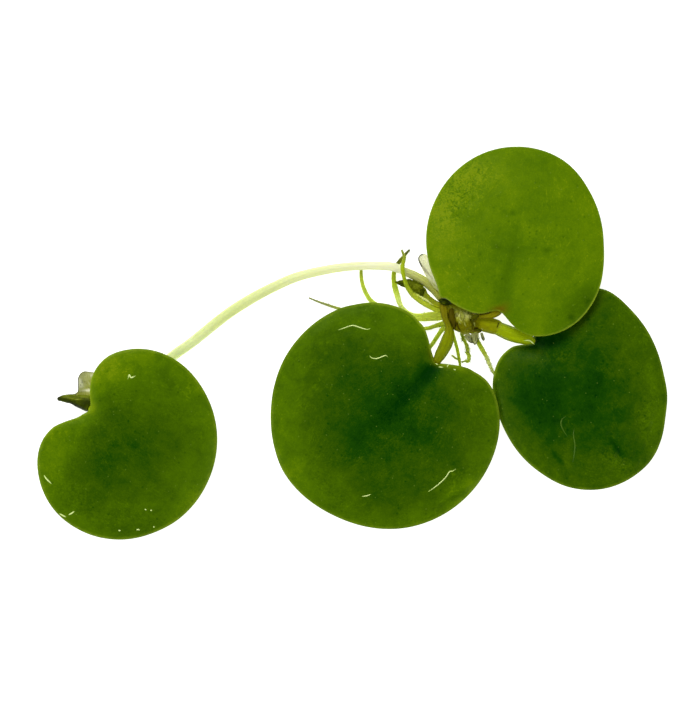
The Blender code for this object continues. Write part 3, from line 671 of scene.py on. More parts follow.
def makeLeafMaterial(name, leaf):
    look, seed = leafLook, leaf["seed"]
    material, add = newMaterial(name, {"Specular IOR Level": 0.018})
    shift = (seed * 37.0, seed * 11.0, 0.0)
    place = add("ShaderNodeMapping", {"Vector": objectMillimetres(add), "Location": shift}).outputs[0]
    uv = add("ShaderNodeUVMap", uv_map="UVMap").outputs[0]
    veins = useGroup(add, veinGroup, {"UV": uv, **look["veins"]})
    flecks = useGroup(add, fleckGroup, {"UV": uv, "Vector": place, "Dots": look["dotScale"]})
    mottle = mottleAt(add, place, look["mottleSize"], leaf["mottle"])
    spots = remap(add, cellsAt(add, place, look["speckleScale"])["Distance"], 0.05, 0.55)
    # the crinkle noise bumps the skin and lightens its raised bits: painted light and shade on the fine
    # crinkles
    crease = noiseAt(add, place, 1 / look["crinkleSize"], 2, 0.6, 1.2)[0]
    crease = times(add, minus(add, crease, 0.5), attribute(add, "crinkle"))
    tone = plus(add, attribute(add, "tone"), mottle)
    for value, share in (
            (minus(add, spots, 0.5), look["speckle"]), (veins["Main"], 0.05 * leaf["furrow"]),
            (crease, -look["crinkleLightAndShade"]), (flecks["Specks"], 0.14), (flecks["Strokes"], -0.16)):
        tone = plus(add, tone, times(add, value, share))
    tone = minus(add, tone, times(add, veins["Net"], 0.025), clamp=True)
    # the blade lightens towards its thin rim, more where rimLight is strong: a painted rim highlight
    rim = remap(add, attribute(add, "rimGap"), leaf["rimWide"], 0.06)
    rim = times(add, rim, remap(add, mottle, -0.12, 0.12, 1.4, 0.6))
    rim = times(add, rim, attribute(add, "rimLight"), clamp=True)
    walls = times(add, attribute(add, "walls"), look["wallShare"])
    padColour = mixColour(add, walls, look["padColour"], look["wallColour"])
    colour = colourRamp(add, tone, leafGreens)
    for share, over in (
            (times(add, flecks["Dots"], 0.30), look["paleColour"]),
            (attribute(add, "glow"), look["glowColour"]),
            (attribute(add, "tint"), look["tintColour"]), (rim, look["rimHighlightColour"]),
            (times(add, attribute(add, "pad"), look["padShare"]), padColour)):
        colour = mixColour(add, share, colour, over)
    height = times(add, veins["Net"], 0.35)
    for value, share in ((spots, 0.4), (mottle, 4.0), (crease, 6.0)):
        height = plus(add, height, times(add, value, share))
    roughness = remap(add, mottle, -0.10, 0.10, *look["roughness"])
    return finishMaterial(material, add, {"Base Color": colour, "Roughness": roughness}, height, 0.35, 0.03)


for leafName, leafValues in leaves.items():
    leafMaterial = makeLeafMaterial(leafName + " skin", leafValues)
    addPiece(leafName + "_skin", makeLeaf(leafName, leafValues), leafMaterial, [leafName])
print("Leaf blades made")


# Stalks, runner and roots: one Geometry Nodes tree draws a ribbed, lumpy tube along a curve

def endTree(tree, add, given, shape):
    shape = add("GeometryNodeRealizeInstances", {"Geometry": shape}).outputs[0]
    shape = add("GeometryNodeSetMaterial", {"Geometry": shape, "Material": given["Material"]}).outputs[0]
    add("NodeGroupOutput", {"Geometry": shape})
    return tree


def makeTubeTree():
    tree, add, given = newTree("GeometryNodeTree", "grown tube", {
        "Geometry": ["Geometry"], "Int": ["Sides"], "Material": ["Material"],
        "Float": ["Ribs", "Rib Depth", "Lump Height", "Lump Length", "Seed"]}, {"Geometry": ["Geometry"]})

    line = add("GeometryNodeSetCurveNormal", {"Curve": given["Geometry"]}, mode="Z_UP").outputs[0]
    line = add("GeometryNodeCaptureAttribute", {"Geometry": line})
    spline = add("GeometryNodeSplineParameter").outputs
    for label, output in (("along", "Factor"), ("length", "Length")):
        line.capture_items.new("FLOAT", label)
        tree.links.new(spline[output], line.inputs[label])

    ring = add("GeometryNodeCurvePrimitiveCircle", {"Resolution": given["Sides"], "Radius": 1.0}).outputs[0]
    ring = add("GeometryNodeCaptureAttribute", {"Geometry": ring})
    ring.capture_items.new("VECTOR", "around")
    tree.links.new(add("GeometryNodeInputPosition").outputs[0], ring.inputs["around"])

    shape = add("GeometryNodeCurveToMesh", {
        "Curve": line.outputs["Geometry"], "Profile Curve": ring.outputs["Geometry"],
        "Scale": add("GeometryNodeInputRadius").outputs[0], "Fill Caps": True}).outputs[0]

    normal = add("GeometryNodeInputNormal").outputs[0]
    around = split(add, ring.outputs["around"])
    angle = calc(add, "ARCTAN2", around[1], around[0])
    ribs = times(add, calc(add, "COSINE", times(add, angle, given["Ribs"])), given["Rib Depth"])
    noise = add("ShaderNodeTexNoise", {
        "Vector": add("GeometryNodeInputPosition").outputs[0], "W": given["Seed"], "Detail": 1.5,
        "Scale": calc(add, "DIVIDE", 1.0, given["Lump Length"])}, noise_dimensions="4D").outputs[0]
    lumps = times(add, minus(add, noise, 0.5), given["Lump Height"])
    push = plus(add, ribs, times(add, lumps, 2.0))
    fibre = joined(add, around[0], around[1], times(add, line.outputs["length"], 1 / mm))
    for label, kind, value in (
            ("along", "FLOAT", line.outputs["along"]), ("crest", "FLOAT", split(add, normal)[2]),
            ("fibre", "FLOAT_VECTOR", fibre)):
        shape = add("GeometryNodeStoreNamedAttribute", {"Geometry": shape, "Name": label, "Value": value},
                    data_type=kind, domain="POINT").outputs[0]
    offset = scaled(add, normal, push)
    shape = add("GeometryNodeSetPosition", {"Geometry": shape, "Offset": offset}).outputs[0]
    shape = add("GeometryNodeSetShadeSmooth", {"Geometry": shape, "Shade Smooth": True}).outputs[0]
    return endTree(tree, add, given, shape)


tubeTree = makeTubeTree()


def smoothRoute(route, steps):
    # points on a smooth curve through the route's own, with the radius between them too
    points = np.array(route, float)
    points = np.concatenate([[points[0] * 2 - points[1]], points, [points[-1] * 2 - points[-2]]])
    t = np.linspace(0, 1, steps, endpoint=False)[:, None]
    parts = []
    for a, b, c, d in zip(points, points[1:], points[2:], points[3:]):
        bend = (a * 2 - b * 5 + c * 4 - d) * t**2 + (b * 3 - a - c * 3 + d) * t**3
        parts.append((b * 2 + (c - a) * t + bend) / 2)
    return np.concatenate([*parts, [points[-2]]])


def roundEnds(path, steps=5):
    # closes a route's two ends with round tips; each ends at a tenth of the radius
    shares = np.sin(np.linspace(0.1, 1, steps) * math.pi / 2)[:-1]
    tips = []
    for end, inner in ((0, 1), (-1, -2)):
        tip, step = path[end], path[end][:3] - path[inner][:3]
        reach = step / np.linalg.norm(step) * tip[3]
        tips.append([[*(tip[:3] + reach * math.sqrt(1 - share**2)), tip[3] * share] for share in shares])
    return np.concatenate([tips[0], path, tips[1][::-1]])


def runTree(tree, source, values):
    # runs a Geometry Nodes tree on an object and gives the result as a plain mesh
    modifier = source.modifiers.new(tree.name, "NODES")
    modifier.node_group = tree
    sockets = {item.name: item.identifier for item in tree.interface.items_tree if item.in_out == "INPUT"}
    for label, value in values.items():
        modifier[sockets[label]] = value
    bpy.context.view_layer.update()
    graph = bpy.context.evaluated_depsgraph_get()
    mesh = bpy.data.meshes.new_from_object(source.evaluated_get(graph), depsgraph=graph)
    source.modifiers.remove(modifier)
    return mesh


def makeTube(name, routes, material, shape, steps=6):
    curve = bpy.data.curves.new(name, "CURVE")
    curve.dimensions = "3D"
    for route in routes:
        path = roundEnds(smoothRoute(route, steps))
        spline = curve.splines.new("POLY")
        spline.points.add(len(path) - 1)
        for point, (x, y, z, radius) in zip(spline.points, path):
            point.co = (x * mm, y * mm, z * mm, 1)
            point.radius = max(radius + shape.get("wider", 0), 0.01) * mm
    source = bpy.data.objects.new(name + "_line", curve)
    bpy.context.scene.collection.objects.link(source)
    sides, ribs, ribDepth, lump, lumpLength = shape["tube"]
    mesh = runTree(tubeTree, source, {
        "Sides": sides, "Ribs": float(ribs), "Rib Depth": ribDepth * mm, "Lump Height": lump * mm,
        "Lump Length": lumpLength * mm, "Seed": float(shape["seed"]), "Material": material})
    bpy.data.objects.remove(source)
    bpy.data.curves.remove(curve)
    return mesh


# routes are x, y, z and radius in millimetres, root end first, as in the plant's solids;
# a tube has its sides, ribs, depth of the ribs, height of the lumps and their length
stalks = {
    "leaf_middle_stalk": {
        "slot": "stalk", "look": "olive stalk", "tube": (60, 9, 0.022, 0.08, 1.2), "seed": 1,
        "route": [
            (11.8, 4.75, 2.7, 0.5), (11.95, 4.1, 2.8, 0.54), (12.05, 3.38, 2.68, 0.49),
            (12.48, 2.4, 2.4, 0.45), (12.58, 1.6, 2.2, 0.58), (12.45, 0.7, 2.1, 0.8),
            (12, -0.5, 2.05, 0.82), (11.45, -1.5, 1.95, 0.74), (11.1, -2.1, 1.85, 0.6)]},
    "leaf_right_sheath": {
        "slot": "stalk", "look": "sheath", "tube": (60, 7, 0.03, 0.1, 1.4), "seed": 2,
        "route": [
            (15.3, 2.9, 1.9, 1), (16.4, 2.72, 1.95, 1.02), (17.4, 2.48, 1.95, 1.02),
            (18.62, 2.12, 1.95, 0.98)]},
    "leaf_right_stalk": {
        "slot": "stalk", "look": "yellow stalk", "tube": (60, 8, 0.035, 0.08, 1.2), "seed": 3,
        "route": [
            (18.6, 2.07, 1.9, 0.84), (20.1, 1.42, 1.95, 0.94), (21.4, 0.98, 2.05, 0.92),
            (22.4, 0.66, 2.13, 0.82), (22.95, 0.5, 2.12, 0.7), (23.35, 0.33, 2, 0.42)]},
    "leaf_top_stalk": {
        "slot": "red_stalk", "look": "red stalk", "tube": (40, 6, 0.03, 0.05, 0.9), "seed": 4,
        "route": [
            (15.3, 3.4, 3, 0.48), (16.2, 3.57, 3.4, 0.41), (17, 3.58, 3.42, 0.38),
            (17.76, 3.65, 3.38, 0.44), (18.36, 3.86, 3.3, 0.53), (18.85, 4.2, 3.12, 0.57),
            (19.1, 4.55, 2.95, 0.5)]},
    "young_leaf_stalk": {
        "slot": "stalk", "look": "speckled stalk", "tube": (32, 6, 0.03, 0.08, 0.5), "seed": 5,
        "route": [
            (12.2, 4.6, 2.6, 0.44), (11.2, 4.9, 2.45, 0.46), (10.6, 5.15, 2.35, 0.46),
            (10, 5.58, 2.2, 0.46), (9.55, 6.05, 2.1, 0.44)]},
    "runner": {
        "slot": "runner", "look": "runner", "tube": (48, 8, 0.018, 0.03, 1), "seed": 6,
        "route": [
            (-32.8, -7.25, 1, 0.5), (-31.3, -6.4, 0.62, 0.55), (-29.2, -5.3, 0.56, 0.56),
            (-26.7, -3.9, 0.58, 0.58), (-24.5, -2.5, 0.62, 0.62), (-22.85, -1.25, 0.65, 0.65),
            (-21.15, -0.05, 0.65, 0.65), (-19.6, 1.17, 0.66, 0.66), (-16.7, 3.5, 0.67, 0.67),
            (-13.6, 5.55, 0.66, 0.66), (-10.45, 7.25, 0.66, 0.63), (-7.35, 8.6, 0.72, 0.6),
            (-4.2, 9.4, 0.85, 0.57), (-1.1, 9.9, 1, 0.54), (2, 10.1, 1.15, 0.54), (4.9, 10, 1.3, 0.54),
            (6.3, 9.6, 1.35, 0.54)]},
    "daughter_leaf_stalk": {
        "slot": "stalk", "look": "yellow stalk", "tube": (32, 6, 0.02, 0.04, 0.8), "seed": 7,
        "route": [(-33.6, -7.65, 1.6, 0.36), (-33.8, -8.15, 2.15, 0.36), (-34, -8.65, 2.55, 0.32)]},
    "runner_sheath": {
        "slot": "membrane", "look": "runner sheath", "tube": (64, 9, 0.022, 0.05, 1), "seed": 72,
        "route": [
            (6.6, 9.42, 1.35, 0.5), (7.2, 9.17, 1.4, 0.54), (8.3, 8.68, 1.5, 0.56),
            (9.5, 7.97, 1.55, 0.57), (10.65, 6.98, 1.55, 0.58), (11.5, 5.95, 1.6, 0.55)]},
}

roots = {
    "root_over_runner": [
        (12.1, 4.25, 2.6, 0.28), (11.05, 4.28, 2.58, 0.3), (9.87, 4.83, 2.62, 0.33),
        (8.76, 5.53, 2.62, 0.34), (7.87, 6.25, 2.65, 0.33), (7.36, 6.9, 2.66, 0.31),
        (6.99, 7.58, 2.64, 0.28), (6.72, 8.4, 2.56, 0.24), (6.54, 9.3, 2.45, 0.27), (6.5, 10, 2.32, 0.28),
        (6.63, 10.6, 2, 0.24), (6.74, 11.2, 1.7, 0.22), (6.45, 12.05, 1.25, 0.15)],
    "root_under_runner": [
        (13.05, 4.1, 1, 0.28), (11.75, 3.88, 0.6, 0.34), (10.1, 3.72, 0.36, 0.31), (8.9, 3.58, 0.31, 0.27),
        (8, 3.63, 0.28, 0.25), (7.35, 3.9, 0.27, 0.24), (6.8, 4.28, 0.27, 0.24), (6.42, 4.68, 0.28, 0.25),
        (6.16, 5.2, 0.3, 0.28), (5.87, 6.1, 0.33, 0.32), (5.6, 7.05, 0.34, 0.33), (5.43, 7.9, 0.31, 0.29),
        (5.37, 8.7, 0.27, 0.26), (5.52, 9.65, 0.25, 0.24), (6, 10.5, 0.24, 0.23), (6.65, 11.3, 0.2, 0.18),
        (7.4, 12.15, 0.15, 0.1)],
    "root_left": [
        (13.05, 3.6, 1, 0.28), (11.75, 3.38, 0.55, 0.32), (10.1, 3.24, 0.34, 0.3), (8.1, 3.2, 0.28, 0.26),
        (5.9, 3.7, 0.27, 0.25), (4.1, 4.5, 0.27, 0.25), (2.55, 5.42, 0.26, 0.24), (1.83, 6.38, 0.25, 0.23),
        (1.36, 7.5, 0.23, 0.21), (1.14, 8.6, 0.21, 0.19), (1.12, 9.6, 0.2, 0.16)],
    "root_far_left": [
        (13.25, 3.15, 1, 0.32), (12.2, 2.75, 0.6, 0.36), (11.7, 2.52, 0.45, 0.32), (10.6, 2.2, 0.27, 0.24),
        (9.45, 1.9, 0.25, 0.23), (7.2, 2.05, 0.23, 0.22), (4.25, 2.8, 0.21, 0.2), (1, 3.8, 0.19, 0.18),
        (-1.9, 4.55, 0.17, 0.16), (-4, 5.25, 0.14, 0.12), (-5.65, 5.9, 0.1, 0.07)],
    "root_below_middle": [
        (13.6, 2.75, 1, 0.26), (12.3, 2.2, 0.55, 0.32), (11.65, 1.72, 0.33, 0.28),
        (10.95, 0.7, 0.26, 0.25), (10.25, -0.35, 0.25, 0.22), (9.6, -1.2, 0.2, 0.14)],
    "root_straight": [
        (12.9, 2.4, 1, 0.2), (13.1, 1.2, 0.5, 0.2), (13.53, -0.25, 0.24, 0.2), (13.83, -1.65, 0.22, 0.2),
        (14, -2.7, 0.2, 0.16), (14.08, -3.6, 0.15, 0.1)],
    "root_side": [(13.66, -2.05, 0.2, 0.13), (13.38, -1.92, 0.18, 0.13), (13, -1.62, 0.14, 0.11)],
    "root_curly": [
        (14.25, 2, 0.9, 0.2), (14.3, 1.05, 0.42, 0.2), (14.68, 0.15, 0.24, 0.21),
        (15.03, -0.75, 0.22, 0.21), (15, -1.15, 0.22, 0.21), (15.15, -1.6, 0.22, 0.21),
        (15.2, -2.1, 0.21, 0.2), (15, -2.36, 0.2, 0.17), (14.7, -2.32, 0.17, 0.12),
        (14.32, -2.47, 0.12, 0.08)],
    "root_right": [
        (15.55, 2, 0.8, 0.22), (16, 1.15, 0.42, 0.2), (16.33, 0.24, 0.27, 0.23), (16.62, -0.3, 0.27, 0.25),
        (17, -0.95, 0.27, 0.26), (17.5, -1.85, 0.25, 0.24), (17.8, -2.6, 0.22, 0.2),
        (18.1, -3.3, 0.19, 0.16), (18.45, -3.95, 0.17, 0.13)]}
rootTube = {"wider": 0.035, "tube": (24, 0, 0, 0.05, 0.4)}
firstRootSeed = 20

# each look: colour stops from foot to tip, the darker colour of edges and streaks, how strong edges, streaks
# and pale specks are, how fine the streaks and cells are, and how much light goes through; the darker edges
# are painted shade on the tube's flanks, and the glow is painted light, an emission in the tube's own colour
# that stands in for light shining through the tissue
tubeLooks = {
    "olive stalk": {
        "stops": [
            (0, (0.24, 0.2, 0.004)), (0.3, (0.26, 0.26, 0.002)), (0.6, (0.26, 0.33, 0.001)),
            (0.9, (0.24, 0.31, 0.001)), (1, (0.2, 0.2, 0.001))],
        "edge": (0.11, 0.12, 0.001), "flankShade": 0.6, "streak": (0.13, 0.13, 0.001), "share": 0.32,
        "speck": 0.25, "streaks": 3.4, "cells": 2, "soft": 0.1, "gloss": 0.05},
    "speckled stalk": {
        "stops": [(0, (0.24, 0.24, 0.003)), (0.5, (0.26, 0.3, 0.003)), (1, (0.26, 0.32, 0.003))],
        "edge": (0.14, 0.15, 0.002), "flankShade": 0.5, "streak": (0.12, 0.13, 0.001), "share": 0.65,
        "speck": 0.8, "streaks": 2.2, "cells": 2.2, "soft": 0.3, "paintedGlow": 0.2},
    "sheath": {
        "stops": [
            (0, (0.18, 0.19, 0.002)), (0.3, (0.28, 0.3, 0.001)), (0.85, (0.27, 0.32, 0.002)),
            (1, (0.44, 0.54, 0.04))],
        "edge": (0.13, 0.14, 0.001), "flankShade": 0.45, "streak": (0.17, 0.13, 0.001), "share": 0.35,
        "speck": 0.3, "streaks": 2, "cells": 1.6, "soft": 0.1, "paintedGlow": 0.11, "gloss": 0.05},
    "yellow stalk": {
        "stops": [(0, (0.32, 0.42, 0.002)), (0.5, (0.34, 0.45, 0.001)), (1, (0.32, 0.45, 0.003))],
        "edge": (0.13, 0.17, 0.001), "flankShade": 0.6, "streak": (0.21, 0.27, 0.001), "share": 0.4,
        "speck": 0.25, "streaks": 2.4, "cells": 1.8, "soft": 0.1, "paintedGlow": 0.12, "gloss": 0.06},
    "red stalk": {
        "stops": [(0, (0.22, 0.21, 0.002)), (0.5, (0.28, 0.29, 0.002)), (1, (0.28, 0.25, 0.004))],
        "edge": (0.13, 0.09, 0.001), "flankShade": 0.55, "streak": (0.16, 0.1, 0.001), "share": 0.35,
        "speck": 0.15, "streaks": 2.4, "cells": 1.8, "soft": 0.1, "paintedGlow": 0.08, "gloss": 0.05},
    "runner": {
        "stops": [
            (0, (0.62, 0.74, 0.16)), (0.15, (0.73, 0.84, 0.34)), (0.3, (0.76, 0.84, 0.43)),
            (0.45, (0.72, 0.8, 0.34)), (0.6, (0.77, 0.83, 0.4)), (0.75, (0.88, 0.92, 0.52)),
            (1, (0.97, 0.97, 0.7))],
        "edge": (0.56, 0.66, 0.2), "flankShade": 0.3, "streak": (0.6, 0.7, 0.22), "share": 0.22, "speck": 0.45,
        "streaks": 2.8, "cells": 2.8, "soft": 0.5, "paintedGlow": 0.14},
    "root": {
        "stops": [
            (0, (0.4, 0.5, 0.03)), (0.5, (0.42, 0.54, 0.03)), (0.9, (0.36, 0.46, 0.04)),
            (1, (0.12, 0.14, 0.02))],
        "edge": (0.24, 0.31, 0.01), "flankShade": 0.6, "streak": (0.24, 0.3, 0.01), "share": 0.4, "speck": 0.6,
        "streaks": 3, "cells": 2.2, "soft": 0.7, "paintedGlow": 0.15},
    "runner sheath": {
        "stops": [
            (0, (0.8, 0.84, 0.42)), (0.35, (0.68, 0.72, 0.2)), (0.7, (0.5, 0.54, 0.085)),
            (1, (0.4, 0.43, 0.04))],
        "edge": (0.46, 0.5, 0.18), "flankShade": 0.45, "streak": (0.38, 0.38, 0.12), "share": 0.5, "speck": 0.2,
        "streaks": 5.5, "cells": 1.6, "soft": 0.5, "paintedGlow": 0.04},
    "dark brown": {
        "stops": [(0, (0.073, 0.058, 0.001)), (0.5, (0.088, 0.074, 0.001)), (1, (0.066, 0.056, 0.001))],
        "edge": (0.06, 0.05, 0.001), "flankShade": 0.5, "streak": (0.12, 0.1, 0.004), "share": 0.3,
        "speck": 0.3, "streaks": 3, "cells": 2, "soft": 0, "gloss": 0.02},
    "dark olive": {
        "stops": [(0, (0.08, 0.09, 0.001)), (0.45, (0.068, 0.078, 0.001)), (1, (0.085, 0.08, 0.001))],
        "edge": (0.045, 0.048, 0.001), "flankShade": 0.5, "streak": (0.11, 0.13, 0.002), "share": 0.3,
        "speck": 0.1, "streaks": 3, "cells": 2, "soft": 0, "gloss": 0.02},
    "papery": {
        "stops": [(0, (0.26, 0.28, 0.02)), (0.5, (0.42, 0.46, 0.09)), (1, (0.28, 0.3, 0.03))],
        "edge": (0.19, 0.2, 0.01), "flankShade": 0.8, "streak": (0.2, 0.21, 0.01), "share": 0.5, "speck": 0.3,
        "streaks": 3, "cells": 2.4, "soft": 0.2, "gloss": 0.04},
    # the two wrinkle looks: raised folds whose paler middle is a painted glint
    "soft glint wrinkle": {
        "stops": [
            (0, (0.03, 0.1, 0.001)), (0.3, (0.1, 0.21, 0.012)), (0.7, (0.07, 0.17, 0.008)),
            (1, (0.03, 0.1, 0.001))],
        "edge": (0.035, 0.11, 0.001), "flankShade": 0.7, "streak": (0.08, 0.19, 0.005), "share": 0.3,
        "speck": 0.1, "streaks": 2, "cells": 2, "soft": 0, "gloss": 0.2},
    "pale glint wrinkle": {
        "stops": [
            (0, (0.46, 0.66, 0.08)), (0.2, (0.8, 0.98, 0.34)), (0.75, (0.84, 1, 0.38)),
            (1, (0.46, 0.66, 0.08))],
        "edge": (0.4, 0.58, 0.07), "flankShade": 0.5, "streak": (0.6, 0.8, 0.18), "share": 0.2, "speck": 0.1,
        "streaks": 2, "cells": 2, "soft": 0, "gloss": 0.2, "paintedGlow": 0.12},
    "ridge flecks": {
        "stops": [
            (0, (0.46, 0.54, 0.04)), (0.4, (0.78, 0.86, 0.26)), (0.7, (0.78, 0.84, 0.3)),
            (1, (0.44, 0.52, 0.04))],
        "edge": (0.34, 0.4, 0.02), "flankShade": 0.4, "streak": (0.26, 0.29, 0.01), "share": 0.5, "speck": 0.9,
        "streaks": 1.4, "cells": 3, "soft": 0.3, "paintedGlow": 0.15},
}

# what differs from root to root: colour stops from the foot to the tip, knobs, width
rootLooks = {
    "root_over_runner": {
        "stops": [
            (0, (0.32, 0.37, 0.008)), (0.25, (0.42, 0.5, 0.03)), (0.42, (0.37, 0.44, 0.03)),
            (0.56, (0.24, 0.32, 0.003)), (0.75, (0.31, 0.41, 0.003)), (0.9, (0.22, 0.27, 0.012)),
            (1, (0.14, 0.16, 0.04))],
        "edge": (0.22, 0.28, 0.006), "wider": 0, "soft": 0.4, "paintedGlow": 0.2, "speck": 0.9},
    "root_under_runner": {
        "stops": [
            (0, (0.6, 0.68, 0.06)), (0.4, (0.6, 0.72, 0.11)), (0.5, (0.7, 0.78, 0.27)),
            (0.59, (0.53, 0.66, 0.09)), (0.66, (0.34, 0.45, 0.01)), (0.78, (0.24, 0.3, 0.015)),
            (0.84, (0.06, 0.068, 0.002)), (1, (0.035, 0.04, 0.006))],
        "edge": (0.28, 0.36, 0.014), "flankShade": 0.35, "wider": 0.045, "paintedGlow": 0.28},
    "root_left": {
        "stops": [
            (0, (0.6, 0.68, 0.06)), (0.5, (0.57, 0.67, 0.1)), (0.75, (0.5, 0.62, 0.07)),
            (0.9, (0.34, 0.42, 0.04)), (1, (0.18, 0.22, 0.03))],
        "edge": (0.28, 0.36, 0.014), "flankShade": 0.35, "wider": 0.06, "paintedGlow": 0.26},
    "root_far_left": {
        "stops": [
            (0, (0.42, 0.52, 0.03)), (0.7, (0.42, 0.52, 0.03)), (0.86, (0.26, 0.28, 0.1)),
            (1, (0.13, 0.14, 0.08))],
        "edge": (0.12, 0.14, 0.03), "wider": 0.03, "paintedGlow": 0.2},
    "root_curly": {"wider": 0.03, "streak": (0.14, 0.19, 0.01), "share": 0.6, "tube": (24, 0, 0, 0.2, 0.3)},
    "root_right": {
        "stops": [
            (0, (0.34, 0.44, 0.02)), (0.4, (0.38, 0.5, 0.015)), (0.6, (0.4, 0.48, 0.06)),
            (0.75, (0.58, 0.64, 0.26)), (0.9, (0.55, 0.6, 0.24)), (1, (0.3, 0.36, 0.05))],
        "edge": (0.16, 0.19, 0.02), "flankShade": 0.75, "tube": (24, 0, 0, 0.08, 0.4)},
    "root_straight": {
        "stops": [
            (0, (0.44, 0.54, 0.04)), (0.5, (0.42, 0.56, 0.01)), (0.8, (0.28, 0.36, 0.01)),
            (1, (0.16, 0.2, 0.01))],
        "wider": 0.02},
    "root_side": {
        "stops": [(0, (0.24, 0.3, 0.02)), (0.5, (0.3, 0.34, 0.05)), (1, (0.45, 0.48, 0.16))], "wider": 0},
}


def makeTubeMaterial(name, look):
    # the emission in the tube's own colour is painted glow, standing in for light that shines through the
    # tissue
    material, add = newMaterial(name, {
        "Specular IOR Level": look.get("gloss", 0.12), "Subsurface Weight": look["soft"],
        "Subsurface Radius": (1.0, 1.0, 0.5), "Subsurface Scale": 0.6 * mm,
        "Emission Strength": look.get("paintedGlow", 0.0)})
    grain = useGroup(add, grainGroup, {
        "Vector": attribute(add, "fibre", "Vector"), "Streaks": look["streaks"], "Cells": look["cells"]})
    colour = colourRamp(add, attribute(add, "along"), look["stops"])
    colour = mixColour(add, times(add, grain["Streaks"], look["share"]), colour, look["streak"])
    pale = times(add, minus(add, 1.0, grain["Cells"]), look["speck"])
    colour = mixColour(add, pale, colour, (0.85, 0.88, 0.50), "SOFT_LIGHT")
    # darker towards the tube's sides, where its surface turns away from straight up: painted shade on the
    # flanks
    side = remap(add, calc(add, "ABSOLUTE", attribute(add, "crest")), 0.80, 0.15)
    colour = mixColour(add, times(add, side, look["flankShade"]), colour, look["edge"])
    roughness = remap(add, grain["Cells"], 0.0, 1.0, 0.28, 0.50)
    sockets = {"Base Color": colour, "Emission Color": colour, "Roughness": roughness}
    return finishMaterial(material, add, sockets, plus(add, grain["Streaks"], grain["Cells"]), 0.3, 0.02)


def addTube(name, routes, material, shape, nodes, steps=6):
    addPiece(name, makeTube(name, routes, material, shape, steps), material, nodes)


tubeMaterials = {name: makeTubeMaterial(name, look) for name, look in tubeLooks.items()}
for stalkName, stalk in stalks.items():
    material = tubeMaterials[stalk["look"]]
    addTube(stalkName + "_skin", [stalk["route"]], material, stalk, [stalkName])
for number, (rootName, route) in enumerate(roots.items()):
    own = rootLooks.get(rootName, {})
    material = makeTubeMaterial(rootName + " skin", {**tubeLooks["root"], **own})
    shape = {**rootTube, "seed": firstRootSeed + number, **own}
    addTube(rootName + "_skin", [route], material, shape, [rootName])
print("Stalks, runner and roots made")


# Thin raised wrinkles on the blades, coloured as painted glints

wrinkleTube = {"tube": (8, 0, 0, 0.02, 0.4), "seed": 50}
wrinkleShape = {"tip": 0.02, "sunk": 0.02}


def wrinkleRoutes(leaf):
    routes = []
    for wrinkle in leaf["wrinkles"]:
        flat = smoothRoute([(x, y, 0, 0) for x, y in wrinkle], 4)
        share = np.linspace(0, 1, len(flat))
        radius = wrinkleShape["tip"] + leaf["wrinkleWide"] * np.sin(share * math.pi) ** 0.6
        top = leafTopAt(leaf, flat[:, 0], flat[:, 1]) - wrinkleShape["sunk"]
        x, y = flat[:, 0] + leaf["centre"][0], flat[:, 1] + leaf["centre"][1]
        routes.append(np.stack([x, y, top, radius], 1))
    return routes


for leafName, leafValues in leaves.items():
    if leafValues["wrinkles"]:
        material = tubeMaterials[leafValues["wrinkleLook"]]
        addTube(leafName + "_wrinkles", wrinkleRoutes(leafValues), material, wrinkleTube, [], 1)
print("Wrinkles made")


# Crown, young leaves and buds: forms whose shade is painted by place

